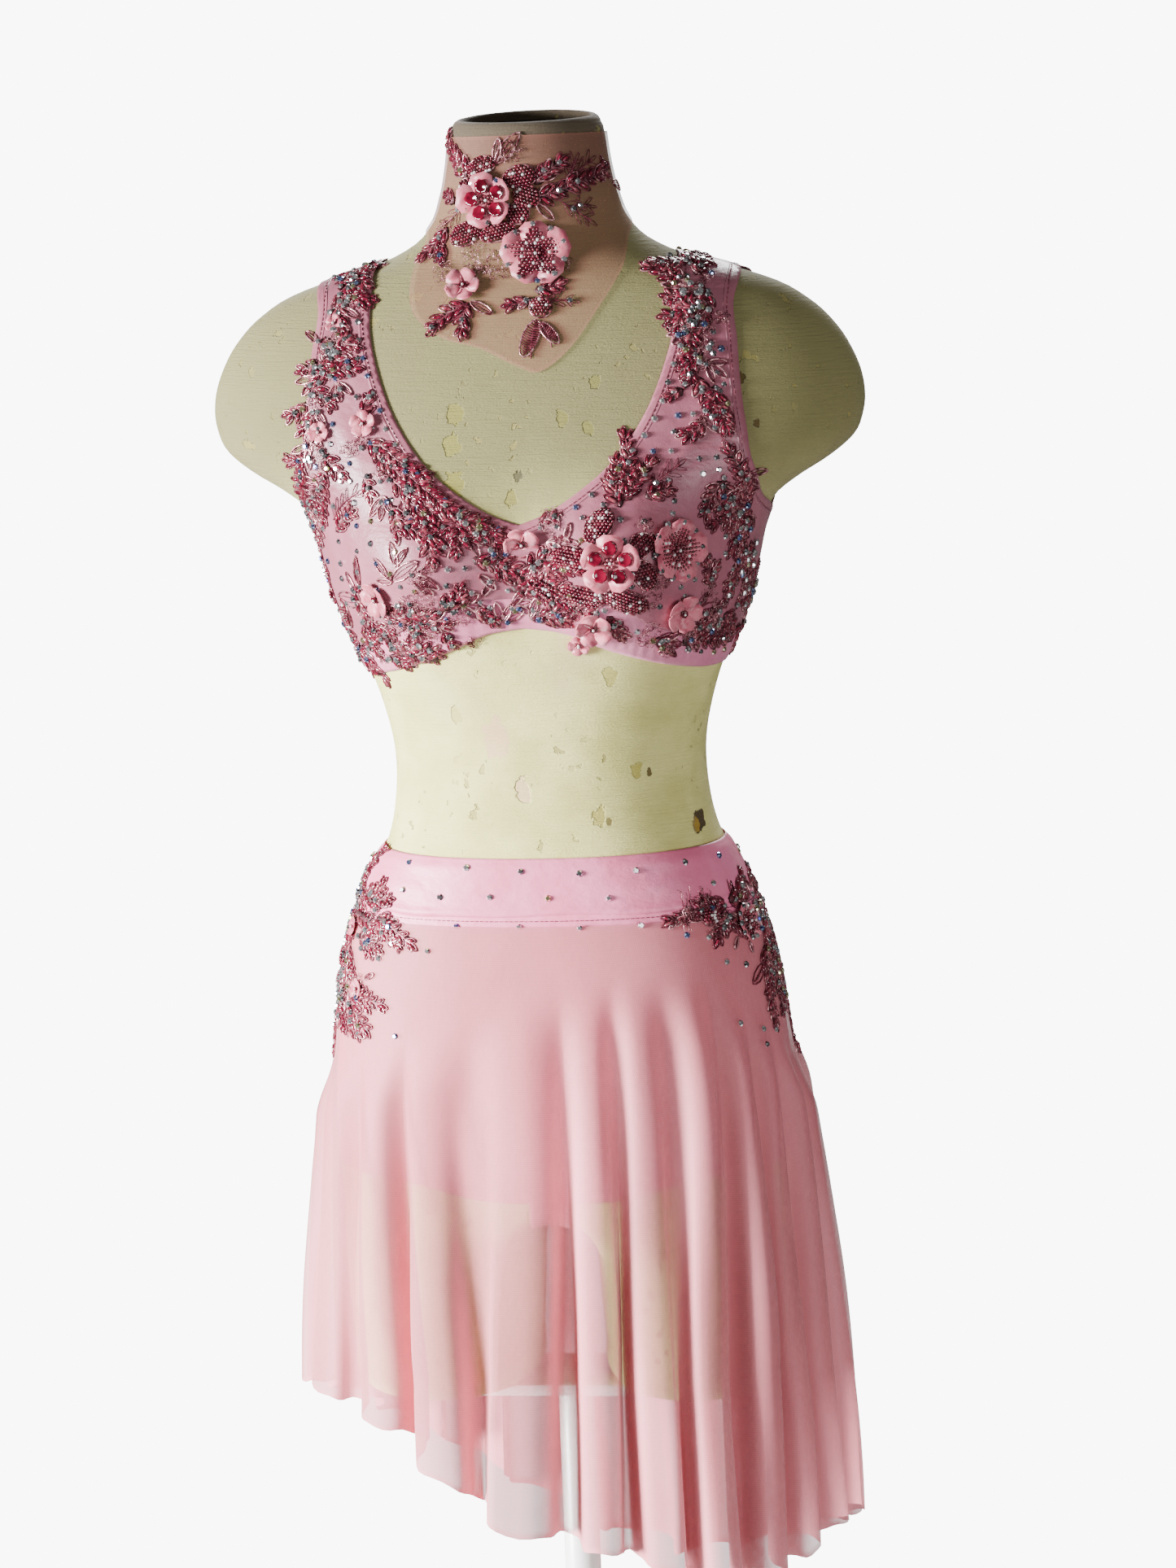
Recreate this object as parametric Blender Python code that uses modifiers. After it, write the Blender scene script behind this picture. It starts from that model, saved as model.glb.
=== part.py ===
"""Lyrical dance costume on a dress form: a cropped top, a sheer neck piece, and a skirt over briefs.

Metres, +Z up. The floor is z = 0, the front faces -Y and the viewer's right is +X.
The origin is the centre of the stand's foot, on the floor.
"""

import math

import bmesh
import bpy
import numpy as np
from mathutils import Vector
from mathutils.geometry import delaunay_2d_cdt

# Clearances and cloth thicknesses
SEAM_GAP = 0.0004
UNDERBUST_GAP = 0.0008
FORM_GAP = 0.0010
LAYER_GAP = 0.0008
SATIN = 0.0012
MESH_CLOTH = 0.0010
BAND = 0.0018
TALLEST_BEADING = 0.0050
SIDE_SEAM_TURN = 0.0008
TOP_SPACING = 0.095
BACK_SPACING = 0.135
LEAST_SPACING = 0.26
CLEAR_GAP = 0.0008

# The dress form's sections: height, half width, depth in front, depth behind, roundness (2 is an ellipse)
FORM_ROWS = (
    (0.500, 0.1560, 0.0830, 0.1000, 2.30),
    (0.540, 0.1570, 0.0870, 0.1060, 2.30),
    (0.580, 0.1565, 0.0900, 0.1095, 2.30),
    (0.620, 0.1540, 0.0915, 0.1090, 2.30),
    (0.660, 0.1490, 0.0905, 0.1045, 2.30),
    (0.700, 0.1410, 0.0875, 0.0975, 2.30),
    (0.740, 0.1270, 0.0830, 0.0885, 2.25),
    (0.770, 0.1130, 0.0800, 0.0820, 2.20),
    (0.800, 0.1070, 0.0785, 0.0780, 2.20),
    (0.830, 0.1065, 0.0795, 0.0765, 2.20),
    (0.860, 0.1125, 0.0830, 0.0790, 2.20),
    (0.890, 0.1225, 0.0870, 0.0830, 2.20),
    (0.920, 0.1350, 0.0910, 0.0875, 2.20),
    (0.950, 0.1440, 0.0950, 0.0920, 2.20),
    (0.980, 0.1520, 0.0970, 0.0960, 2.20),
    (0.996, 0.1600, 0.0968, 0.0980, 2.15),
    (1.008, 0.1760, 0.0960, 0.0992, 2.10),
    (1.020, 0.1960, 0.0945, 0.1000, 2.05),
    (1.034, 0.2130, 0.0920, 0.1005, 2.00),
    (1.050, 0.2200, 0.0885, 0.1005, 2.00),
    (1.070, 0.2205, 0.0830, 0.0995, 2.00),
    (1.090, 0.2140, 0.0765, 0.0970, 2.00),
    (1.108, 0.2030, 0.0695, 0.0935, 2.00),
    (1.124, 0.1870, 0.0620, 0.0890, 2.00),
    (1.138, 0.1640, 0.0555, 0.0835, 2.00),
    (1.149, 0.1320, 0.0505, 0.0780, 2.00),
    (1.158, 0.1020, 0.0475, 0.0735, 2.00),
    (1.168, 0.0810, 0.0455, 0.0695, 2.00),
    (1.182, 0.0665, 0.0440, 0.0660, 2.00),
    (1.200, 0.0590, 0.0430, 0.0630, 2.00),
    (1.220, 0.0545, 0.0420, 0.0615, 2.00),
    (1.240, 0.0520, 0.0412, 0.0605, 2.00),
    (1.256, 0.0500, 0.0400, 0.0590, 2.00),
)
BUST_X = 0.072
BUST_Z = 0.962
BUST_RISE = 0.026
BUST_WIDTH = 0.038
BUST_HEIGHT = 0.036

# Neck rim and thigh stumps of the form
NECK_TOP = 1.256
NECK_DISH = 0.009
CROTCH_Z = 0.516
CROTCH_CURVE = 0.004
BRIDGE_SHARES = (0.10, 0.22, 0.36, 0.50, 0.64, 0.78, 0.90)
INNER_THIGH_X = 0.0190
THIGH_TOP = 0.511
THIGH_BOTTOM = 0.385
THIGH_X = 0.0885
THIGH_Y = 0.008
# Thigh sections: height, half width, half depth, share of the round shape
THIGH_ROWS = (
    (THIGH_TOP, 0.0700, 0.0920, 0.0),
    (0.495, 0.0700, 0.0910, 0.45),
    (0.475, 0.0690, 0.0890, 0.85),
    (0.445, 0.0680, 0.0865, 1.0),
    (0.415, 0.0660, 0.0835, 1.0),
    (0.391, 0.0640, 0.0810, 1.0),
    (THIGH_BOTTOM, 0.0600, 0.0770, 1.0),
)

# Stand
PLATE_SIZE = (0.240, 0.080, 0.008)
POLE_RADIUS = 0.0125
BASE_RADIUS = 0.180
BASE_HEIGHT = 0.014

# Cropped top: each edge is (x, z) as seen from the front, from the top down
CHEST_CENTRE = (0.0, 0.0, 1.000)
SHOULDER_INNER_X = 0.097
SHOULDER_OUTER_X = 0.139
SIDE_TOP_Z = 0.988
NECKLINE_LEFT = (
    (-0.1020, 1.1400),
    (-0.1015, 1.1160),
    (-0.0950, 1.0880),
    (-0.0830, 1.0580),
    (-0.0640, 1.0300),
    (-0.0400, 1.0090),
    (-0.0150, 0.9940),
)
NECKLINE_NOTCH = (0.0, 0.9885)
ARMHOLE_LEFT = (
    (-0.1390, 1.1280),
    (-0.1420, 1.1000),
    (-0.1440, 1.0750),
    (-0.1470, 1.0500),
    (-0.1500, 1.0250),
    (-0.1530, 1.0070),
)
BACK_NECKLINE_LEFT = (
    (-0.1040, 1.1300),
    (-0.1020, 1.0950),
    (-0.0880, 1.0560),
    (-0.0550, 1.0300),
)
BACK_NECKLINE_LOW = (0.0, 1.0220)
BACK_ARMHOLE_LEFT = (
    (-0.1420, 1.1220),
    (-0.1420, 1.0850),
    (-0.1440, 1.0500),
    (-0.1500, 1.0120),
)
# Lower edges: turn from centre front in degrees, height of the hem, height of the seam above its elastic band
HEM_ROWS = (
    (0.0, 0.9200, 0.9405),
    (9.0, 0.9165, 0.9400),
    (20.0, 0.9060, 0.9360),
    (37.0, 0.8945, 0.9180),
    (60.0, 0.8865, 0.9060),
    (90.0, 0.8850, 0.9030),
    (180.0, 0.8870, 0.9050),
)

# Sheer neck piece: bearing from centre front in degrees, height of its lower edge
COLLAR_TOP = 1.2400
BIB_ROWS = (
    (-180.0, 1.1980),
    (-110.0, 1.1900),
    (-84.0, 1.1790),
    (-71.0, 1.1700),
    (-61.0, 1.1500),
    (-52.0, 1.1260),
    (-43.0, 1.1140),
    (-18.0, 1.1030),
    (8.0, 1.0860),
    (23.0, 1.0940),
    (41.0, 1.1250),
    (55.0, 1.1470),
    (72.0, 1.1700),
    (86.0, 1.1790),
    (110.0, 1.1900),
    (180.0, 1.1980),
)

# Waistband
WAIST_TOP = 0.7630
WAIST_LOW = 0.7140

# Briefs: turn from centre front or centre back in degrees, height of the leg edge
LEG_EDGE_ROWS = (
    (0.0, 0.5280),
    (12.0, 0.5290),
    (32.0, 0.5390),
    (60.0, 0.5430),
    (90.0, 0.5460),
)
GUSSET_HALF = 0.0140
GUSSET_RISE = 0.0030

# Skirt hanging free below the hips, at the bottom of its folds: height, half width, front, back, fold depth
HANG_ROWS = (
    (0.235, 0.1690, 0.1240, 0.1360, 0.0350),
    (0.300, 0.1685, 0.1200, 0.1330, 0.0335),
    (0.350, 0.1680, 0.1160, 0.1300, 0.0315),
    (0.400, 0.1670, 0.1120, 0.1270, 0.0290),
    (0.450, 0.1660, 0.1080, 0.1240, 0.0255),
    (0.500, 0.1645, 0.1035, 0.1210, 0.0210),
    (0.550, 0.1625, 0.0990, 0.1175, 0.0165),
    (0.600, 0.1590, 0.0945, 0.1125, 0.0120),
    (0.640, 0.1520, 0.0900, 0.1050, 0.0080),
    (0.680, 0.1400, 0.0850, 0.0950, 0.0050),
    (0.720, 0.1250, 0.0800, 0.0850, 0.0040),
)
# Slanting hem: turn from centre front in degrees, height
SKIRT_HEM_ROWS = (
    (-180.0, 0.2160),
    (-165.0, 0.2530),
    (-150.0, 0.2830),
    (-135.0, 0.3140),
    (-120.0, 0.3420),
    (-105.0, 0.3620),
    (-90.0, 0.3800),
    (-75.0, 0.3900),
    (-60.0, 0.3930),
    (-45.0, 0.3880),
    (-30.0, 0.3720),
    (-15.0, 0.3400),
    (0.0, 0.3120),
    (15.0, 0.2950),
    (30.0, 0.2770),
    (45.0, 0.2740),
    (60.0, 0.2840),
    (75.0, 0.2930),
    (90.0, 0.2860),
    (105.0, 0.2700),
    (120.0, 0.2500),
    (135.0, 0.2300),
    (150.0, 0.2150),
    (165.0, 0.2050),
    (180.0, 0.2160),
)
# Folds of each half, side seam to side seam: turn of the crest at the hips and at the hem in degrees, depth,
# height where it starts
FRONT_FOLDS = (
    (-90.0, -90.0, 0.85, 0.610),
    (-68.0, -59.0, 0.80, 0.620),
    (-43.0, -37.0, 0.90, 0.630),
    (-31.0, -20.0, 1.00, 0.640),
    (-3.0, -3.0, 1.00, 0.670),
    (10.0, 8.0, 1.00, 0.672),
    (21.0, 19.0, 0.90, 0.675),
    (38.0, 33.0, 1.00, 0.672),
    (52.0, 47.0, 1.00, 0.660),
    (64.0, 59.0, 0.75, 0.645),
    (77.0, 74.0, 0.85, 0.625),
    (90.0, 90.0, 0.90, 0.610),
)
BACK_FOLDS = (
    (90.0, 90.0, 0.90, 0.610),
    (107.0, 106.0, 0.90, 0.640),
    (124.0, 123.0, 1.00, 0.655),
    (140.0, 141.0, 0.80, 0.660),
    (157.0, 158.0, 1.00, 0.665),
    (174.0, 175.0, 0.90, 0.660),
    (192.0, 193.0, 1.00, 0.660),
    (210.5, 211.0, 0.90, 0.650),
    (229.0, 229.0, 1.00, 0.645),
    (248.0, 247.0, 0.90, 0.630),
    (270.0, 270.0, 0.85, 0.610),
)
FOLD_GROWTH = 0.055
FOLD_PINCH = 0.06
FOLD_STEEPNESS = 0.04

# Beaded flowers on the top: x and z as seen from the front, radius, height
TOP_FLOWERS = (
    (-0.103, 1.053, 0.012, 0.0036),
    (-0.131, 1.049, 0.011, 0.0030),
    (-0.127, 1.110, 0.012, 0.0030),
    (0.004, 0.976, 0.015, 0.0036),
    (0.062, 0.965, 0.024, 0.0038),
    (0.107, 0.970, 0.019, 0.0030),
    (0.053, 0.924, 0.013, 0.0034),
    (0.101, 0.926, 0.014, 0.0034),
    (-0.116, 0.934, 0.016, 0.0032),
    (-0.078, 0.935, 0.013, 0.0030),
)
# Leaf sprays on the top: x and z of the stem's foot, heading in degrees (90 is up), length
TOP_SPRAYS = (
    (-0.134, 1.066, 88, 0.030),
    (-0.120, 1.122, 76, 0.026),
    (-0.090, 1.044, -50, 0.044),
    (-0.058, 1.008, -34, 0.048),
    (-0.122, 0.986, 72, 0.036),
    (-0.134, 1.010, 98, 0.026),
    (-0.100, 0.950, 62, 0.034),
    (-0.066, 0.950, 30, 0.044),
    (-0.096, 0.912, 4, 0.044),
    (-0.046, 0.928, 8, 0.036),
    (0.128, 1.020, 96, 0.036),
    (0.124, 1.072, 88, 0.030),
    (0.118, 1.112, 92, 0.030),
    (0.078, 0.996, 78, 0.044),
    (0.034, 0.960, 176, 0.028),
    (0.142, 0.978, 92, 0.032),
    (0.136, 0.930, 84, 0.034),
    (0.082, 0.932, -30, 0.030),
)
# The same for the neck piece
NECK_FLOWERS = (
    (-0.018, 1.196, 0.018, 0.0038),
    (0.011, 1.161, 0.018, 0.0026),
    (-0.032, 1.145, 0.010, 0.0030),
)
NECK_SPRAYS = (
    (-0.006, 1.214, 84, 0.022),
    (-0.034, 1.208, 128, 0.022),
    (0.008, 1.203, 8, 0.040),
    (-0.036, 1.186, 214, 0.026),
    (-0.034, 1.134, 258, 0.018),
    (0.009, 1.141, 268, 0.026),
)
# The same for the hips, with a turn in degrees in place of x
HIP_FLOWERS = (
    (-72.0, 0.684, 0.017, 0.0028),
    (73.0, 0.716, 0.019, 0.0028),
    (-80.0, 0.738, 0.012, 0.0030),
)
HIP_SPRAYS = (
    (-70.0, 0.722, 8, 0.060),
    (-76.0, 0.668, 262, 0.042),
    (-60.0, 0.676, -24, 0.046),
    (-84.0, 0.750, 60, 0.012),
    (62.0, 0.724, 170, 0.040),
    (84.0, 0.704, -82, 0.046),
    (88.0, 0.654, -84, 0.040),
    (78.0, 0.692, -100, 0.038),
)
# The same for the back, lightly beaded
BACK_FLOWERS = (
    (-0.112, 0.962, 0.018, 0.0030),
    (0.112, 0.962, 0.018, 0.0030),
)
BACK_SPRAYS = (
    (-0.122, 1.086, 86, 0.040),
    (0.122, 1.086, 94, 0.040),
    (-0.126, 0.984, 96, 0.040),
    (0.126, 0.984, 84, 0.040),
    (-0.094, 0.944, -16, 0.036),
    (0.094, 0.944, 196, 0.036),
)
LEAF_LENGTH = 0.012
LEAF_HEIGHT = 0.0020
# A flower's petals: turn from a petal's middle in degrees, share of the radius, share of the height
FLOWER_POINTS = (
    (0.0, 0.58, 0.90),
    (0.0, 0.98, 0.60),
    (36.0, 0.70, 0.15),
    (0.0, 1.22, 0.0),
    (36.0, 1.05, 0.0),
)


def clear_scene():
    for old in list(bpy.data.objects):
        bpy.data.objects.remove(old, do_unlink=True)


def read_rows(rows, at):
    """The columns of a table at the given values of its first column, joined by smooth cubic stretches."""
    table = np.array(rows, float)
    order = np.argsort(table[:, 0])
    knots = table[order, 0]
    values = table[order, 1:]
    slopes = np.gradient(values, knots, axis=0)
    at = np.clip(np.asarray(at, float), knots[0], knots[-1])
    left = np.clip(np.searchsorted(knots, at, side="right") - 1, 0, len(knots) - 2)
    step = knots[left + 1] - knots[left]
    t = ((at - knots[left]) / step)[..., None]
    step = step[..., None]
    read = (
        values[left] * (1 + 2 * t) * (1 - t) ** 2
        + values[left + 1] * t * t * (3 - 2 * t)
        + slopes[left] * step * t * (1 - t) ** 2
        + slopes[left + 1] * step * t * t * (t - 1)
    )
    return [read[..., column] for column in range(values.shape[1])]


def bust(x, z):
    """How far the form's bust stands forward of its plain section."""
    up = np.exp(-0.5 * ((z - BUST_Z) / BUST_HEIGHT) ** 2)
    left = np.exp(-0.5 * ((x + BUST_X) / BUST_WIDTH) ** 2)
    right = np.exp(-0.5 * ((x - BUST_X) / BUST_WIDTH) ** 2)
    return BUST_RISE * up * (left + right)


def form_level(points):
    """Below 0 inside the form's trunk and above 0 outside it."""
    x, y, z = points[..., 0], points[..., 1], points[..., 2]
    half, front, back, power = read_rows(FORM_ROWS, z)
    forward = np.where(y < 0, y + bust(x, z) * np.clip(-y / 0.04, 0, 1), y)
    depth = np.where(y < 0, front, back)
    return (np.abs(x) / half) ** power + (np.abs(forward) / depth) ** power - 1


def form_normal(points, reach=0.0015):
    """The outward direction of the form's trunk at points on it."""
    slope = np.empty_like(points)
    for axis in range(3):
        step = np.zeros(3)
        step[axis] = reach
        slope[..., axis] = form_level(points + step) - form_level(points - step)
    return slope / np.linalg.norm(slope, axis=-1, keepdims=True)


def settled(points, faces, least, side=1):
    """The points, moved so that the flat faces between them stay outside the form (side 1) or inside it (-1)."""
    points = points.copy()
    faces = np.array(faces)
    reach = 0.0005
    for _ in range(8):
        corner = points[faces]
        samples = np.concatenate([
            corner.mean(axis=1, keepdims=True),
            (corner + np.roll(corner, -1, axis=1)) / 2,
        ], axis=1)
        level = form_level(samples)
        steepness = (form_level(samples + form_normal(samples) * reach) - level) / reach
        short = np.clip(least - side * level / steepness, 0, 0.002).max(axis=1)
        push = np.zeros(len(points))
        for k in range(3):
            np.maximum.at(push, faces[:, k], short)
        if push.max() < 0.00003:
            break
        points += side * form_normal(points) * push[:, None]
    return points


def section_point(turn, z):
    """A point of the form at a turn from centre front in radians and a height."""
    half, front, back, power = read_rows(FORM_ROWS, z)
    side, ahead = np.sin(turn), np.cos(turn)
    x = half * np.sign(side) * np.abs(side) ** (2 / power)
    y = np.where(ahead > 0, front, back) * -np.sign(ahead) * np.abs(ahead) ** (2 / power)
    y = y - bust(x, z) * np.clip(-y / 0.04, 0, 1)
    return np.stack([x, y, np.broadcast_to(z, x.shape)], -1)


def chest_point(turn, rise):
    """Where a ray from the centre of the chest leaves the form."""
    ahead = np.stack([np.sin(turn) * np.cos(rise), -np.cos(turn) * np.cos(rise), np.sin(rise)], -1)
    inside = np.full(turn.shape, 0.03)
    outside = np.full(turn.shape, 0.26)
    centre = np.array(CHEST_CENTRE)
    for _ in range(34):
        middle = (inside + outside) / 2
        within = form_level(centre + ahead * middle[..., None]) < 0
        inside = np.where(within, middle, inside)
        outside = np.where(within, outside, middle)
    return centre + ahead * inside[..., None]


def front_y(x, z, side=-1):
    """Depth of the form's front (side -1) or back (side 1) at a place given as seen from the front."""
    half, front, back, power = read_rows(FORM_ROWS, z)
    across = np.clip(1 - (np.abs(x) / half) ** power, 0, 1) ** (1 / power)
    if side > 0:
        return back * across
    return -(front * across + bust(x, z))


def chest_angles(points):
    """Turn and rise of points, seen from the centre of the chest."""
    away = points - np.array(CHEST_CENTRE)
    turn = np.arctan2(away[..., 0], -away[..., 1])
    return turn, np.arctan2(away[..., 2], np.hypot(away[..., 0], away[..., 1]))


def smooth_path(points, count):
    """A smooth curve through points, read at evenly spread places."""
    points = np.asarray(points, float)
    length = np.concatenate([[0], np.cumsum(np.linalg.norm(np.diff(points, axis=0), axis=1))])
    rows = np.column_stack([length, points])
    return np.stack(read_rows(rows, np.linspace(0, length[-1], count)), -1)


def material(name, colour, roughness, metallic=0.0):
    made = bpy.data.materials.new(name)
    made.use_nodes = True
    shader = made.node_tree.nodes["Principled BSDF"]
    shader.inputs["Base Color"].default_value = (*colour, 1.0)
    shader.inputs["Roughness"].default_value = roughness
    shader.inputs["Metallic"].default_value = metallic
    made.diffuse_color = (*colour, 1.0)
    return made


def add_mesh(name, points, faces, look):
    """A mesh object in the part's collection, with its material."""
    mesh = bpy.data.meshes.new(name)
    mesh.from_pydata([tuple(p) for p in points], [], [tuple(f) for f in faces])
    mesh.validate()
    mesh.materials.append(look)
    made = bpy.data.objects.new(name, mesh)
    PARTS.objects.link(made)
    mesh.shade_smooth()
    return made


def thicken(made, thickness, heights=None):
    """Gives an open surface its wall, outwards. Heights, one for each point, raise the outer face more."""
    wall = made.modifiers.new("wall", "SOLIDIFY")
    wall.offset = 1.0
    wall.use_even_offset = False
    wall.use_rim = True
    wall.thickness = thickness
    if heights is None:
        return
    wall.thickness = TALLEST_BEADING
    wall.thickness_vertex_group = thickness / TALLEST_BEADING
    group = made.vertex_groups.new(name="raised")
    for index, height in enumerate(heights):
        raised = min(max(height / (TALLEST_BEADING - thickness), 0.0), 1.0)
        group.add([index], raised, "REPLACE")
    wall.vertex_group = group.name


def distance_to_loop(places, loop):
    """Distance of each place from the nearest edge of a closed outline."""
    start, end = loop, np.roll(loop, -1, axis=0)
    along = end - start
    least = np.full(len(places), np.inf)
    for origin, run in zip(start, along):
        share = np.clip(((places - origin) @ run) / (run @ run), 0, 1)
        gap = np.linalg.norm(places - origin - share[:, None] * run, axis=1)
        least = np.minimum(least, gap)
    return least


def inside_loop(places, loop):
    """Whether each place lies within a closed outline."""
    start, end = loop, np.roll(loop, -1, axis=0)
    within = np.zeros(len(places), bool)
    for (x0, y0), (x1, y1) in zip(start, end):
        crosses = (y0 > places[:, 1]) != (y1 > places[:, 1])
        if y0 != y1:
            at = x0 + (places[:, 1] - y0) * (x1 - x0) / (y1 - y0)
            within ^= crosses & (places[:, 0] < at)
    return within


def square_grid(loop, spacing):
    """Evenly staggered places over the box of an outline."""
    low, high = loop.min(axis=0), loop.max(axis=0)
    rows = np.arange(low[1], high[1], spacing * 0.866)
    return np.array([
        (x, y)
        for number, y in enumerate(rows)
        for x in np.arange(low[0] + (number % 2) * spacing / 2, high[0], spacing)
    ])


def filled(loop, grid, raised, spacing):
    """Triangles over a flat outline: its places, faces and heights. Raised places are (u, v, height)."""
    raised = np.array(raised, float).reshape(-1, 3)
    kept = []
    for place in raised:
        if all(math.dist(place[:2], other[:2]) > LEAST_SPACING * spacing for other in kept):
            kept.append(place)
    raised = np.array(kept).reshape(-1, 3)
    if len(raised):
        gap = np.min(np.linalg.norm(grid[:, None] - raised[None, :, :2], axis=2), axis=1)
        grid = grid[gap > 0.65 * spacing]
    grid = np.column_stack([grid, np.zeros(len(grid))])
    inner = np.concatenate([raised, grid])
    inner = inner[inside_loop(inner[:, :2], loop) & (distance_to_loop(inner[:, :2], loop) > 0.35 * spacing)]
    places = np.concatenate([np.column_stack([loop, np.zeros(len(loop))]), inner])
    flat = [Vector(place[:2]) for place in places]
    edges = [(k, (k + 1) % len(loop)) for k in range(len(loop))]
    found, _, faces, sources, _, _ = delaunay_2d_cdt(flat, edges, [], 1, 1e-7)
    heights = [places[source[0]][2] if source else 0.0 for source in sources]
    return np.array([tuple(place) for place in found]), faces, np.array(heights)


def split_edges(loop, longest):
    """A closed outline with its long edges split."""
    points = []
    for start, end in zip(loop, np.roll(loop, -1, axis=0)):
        pieces = max(1, round(float(np.linalg.norm(end - start)) / longest))
        points.extend(start + (end - start) * k / pieces for k in range(pieces))
    return np.array(points)


def outwards(points, faces):
    """The faces, turned so that they point away from the form's middle line."""
    corner = points[np.array(faces)]
    normal = np.cross(corner[:, 1] - corner[:, 0], corner[:, 2] - corner[:, 0])
    away = corner.mean(axis=1)
    away[:, 2] = 0
    if (normal * away).sum() < 0:
        return [tuple(reversed(face)) for face in faces]
    return [tuple(face) for face in faces]


def build_form(look):
    """The dress form: rings up the trunk, a dished neck rim, and two closed thigh stumps."""
    around = 28
    heights = np.concatenate([
        np.linspace(0.528, 0.735, 6),
        np.linspace(0.765, 0.980, 9),
        (0.996, 1.011, 1.026, 1.048, 1.072, 1.094, 1.112, 1.127, 1.139),
        np.linspace(1.150, 1.188, 5),
        (1.212, 1.240),
    ])
    turns = np.linspace(-math.pi, math.pi, around, endpoint=False)
    points = np.array([point for z in heights for point in section_point(turns, np.full(around, z))])
    faces = []
    for row in range(len(heights) - 1):
        for k in range(around):
            after = (k + 1) % around
            a, b = row * around + k, row * around + after
            faces.append((a, b, b + around))
            faces.append((a, b + around, a + around))
    points = list(settled(points, faces, 0.0, -1))
    last = (len(heights) - 1) * around
    rim = section_point(turns, np.full(around, NECK_TOP))
    middle = rim.mean(axis=0)
    for shrink, drop in ((0.985, 0.0), (0.90, 0.0), (0.84, 0.6 * NECK_DISH), (0.72, NECK_DISH)):
        ring = middle + (rim - middle) * shrink
        ring[:, 2] = NECK_TOP - drop
        start = len(points)
        points.extend(ring)
        for k in range(around):
            after = (k + 1) % around
            faces.append((last + k, last + after, start + after, start + k))
        last = start
    points.append((middle[0], middle[1], NECK_TOP - NECK_DISH))
    faces.extend((last + k, last + (k + 1) % around, len(points) - 1) for k in range(around))

    front, back = around // 2, 0
    deep_front, deep_back = points[front][1], points[back][1]
    depths = [deep_front + share * (deep_back - deep_front) for share in BRIDGE_SHARES]
    bridge = []
    for share, y in zip(BRIDGE_SHARES, depths):
        points.append((0.0, y, CROTCH_Z + CROTCH_CURVE * (2 * share - 1) ** 4))
        bridge.append(len(points) - 1)
    half = around // 2
    for side in (-1, 1):
        upper = [(front + side * k) % around for k in range(half + 1)] + bridge[::-1]
        inset = math.asin((INNER_THIGH_X / FORM_ROWS[0][1]) ** (FORM_ROWS[0][4] / 2))
        outer = section_point(side * np.linspace(inset, math.pi - inset, half + 1), np.full(half + 1, THIGH_TOP))
        inner = [(side * INNER_THIGH_X, y, THIGH_TOP - 0.003) for y in reversed(depths)]
        square = np.concatenate([outer, inner])
        spread = np.concatenate([
            np.linspace(-0.74 * math.pi, 0.74 * math.pi, half + 1),
            np.linspace(0.79 * math.pi, 1.21 * math.pi, len(bridge)),
        ])
        for z, wide, deep, share in THIGH_ROWS:
            x = side * (THIGH_X + wide * np.cos(spread))
            ring = np.stack([x, THIGH_Y + deep * np.sin(spread), np.full(len(spread), z)], -1)
            ring = square * (1 - share) + ring * share
            if share > 0:
                ring[:, 2] = z
            lower = range(len(points), len(points) + len(ring))
            points.extend(ring)
            for k in range(len(ring)):
                after = (k + 1) % len(ring)
                faces.append((upper[k], upper[after], lower[after], lower[k]))
            upper = lower
        faces.append(tuple(upper))
    made = add_mesh("dress_form", points, faces, look)
    shaped = bmesh.new()
    shaped.from_mesh(made.data)
    bmesh.ops.recalc_face_normals(shaped, faces=shaped.faces)
    shaped.to_mesh(made.data)
    shaped.free()
    return made


def build_stand(look):
    """A round foot, a pole and the plate that both thigh stumps stand on."""
    plate_low = THIGH_BOTTOM - SEAM_GAP - PLATE_SIZE[2]
    bpy.ops.mesh.primitive_cylinder_add(
        vertices=48, radius=BASE_RADIUS, depth=BASE_HEIGHT, location=(0, 0, BASE_HEIGHT / 2)
    )
    base = bpy.context.object
    base.name = "stand_base"
    pole_low = BASE_HEIGHT + SEAM_GAP
    pole_length = plate_low - SEAM_GAP - pole_low
    bpy.ops.mesh.primitive_cylinder_add(
        vertices=24, radius=POLE_RADIUS, depth=pole_length, location=(0, 0, pole_low + pole_length / 2)
    )
    pole = bpy.context.object
    pole.name = "stand_pole"
    bpy.ops.mesh.primitive_cube_add(size=1.0, location=(0, THIGH_Y, plate_low + PLATE_SIZE[2] / 2))
    plate = bpy.context.object
    plate.name = "stand_plate"
    plate.scale = PLATE_SIZE
    bpy.ops.object.transform_apply(location=False, rotation=False, scale=True)
    for made in (base, pole, plate):
        for user in list(made.users_collection):
            user.objects.unlink(made)
        PARTS.objects.link(made)
        made.data.materials.append(look)
        made.data.shade_smooth()
        made.data.set_sharp_from_angle(angle=math.radians(40))


def chest_places(points):
    """Points in the chest's flat map, where a turn is shortened by its rise."""
    turn, rise = chest_angles(np.asarray(points, float))
    return np.stack([turn * np.cos(rise), rise], -1)


def seen_points(edge, side=-1):
    """Points of the form for places (x, z) as seen from the front."""
    edge = np.array(edge, float)
    return np.stack([edge[:, 0], front_y(edge[:, 0], edge[:, 1], side), edge[:, 1]], -1)


def shoulder_point(x, y):
    """The top of the shoulder at x, a little in front of its seam or behind it."""
    heights = np.linspace(1.10, 1.19, 400)
    half, _, _, _ = read_rows(FORM_ROWS, heights)
    z = heights[np.argmin(np.abs(half - abs(x)))]
    return np.array([x, y, z])


def side_point(z, y):
    """A point beside the left side seam at a height."""
    half, _, _, _ = read_rows(FORM_ROWS, z)
    return np.array([-float(half), y, z])


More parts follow.
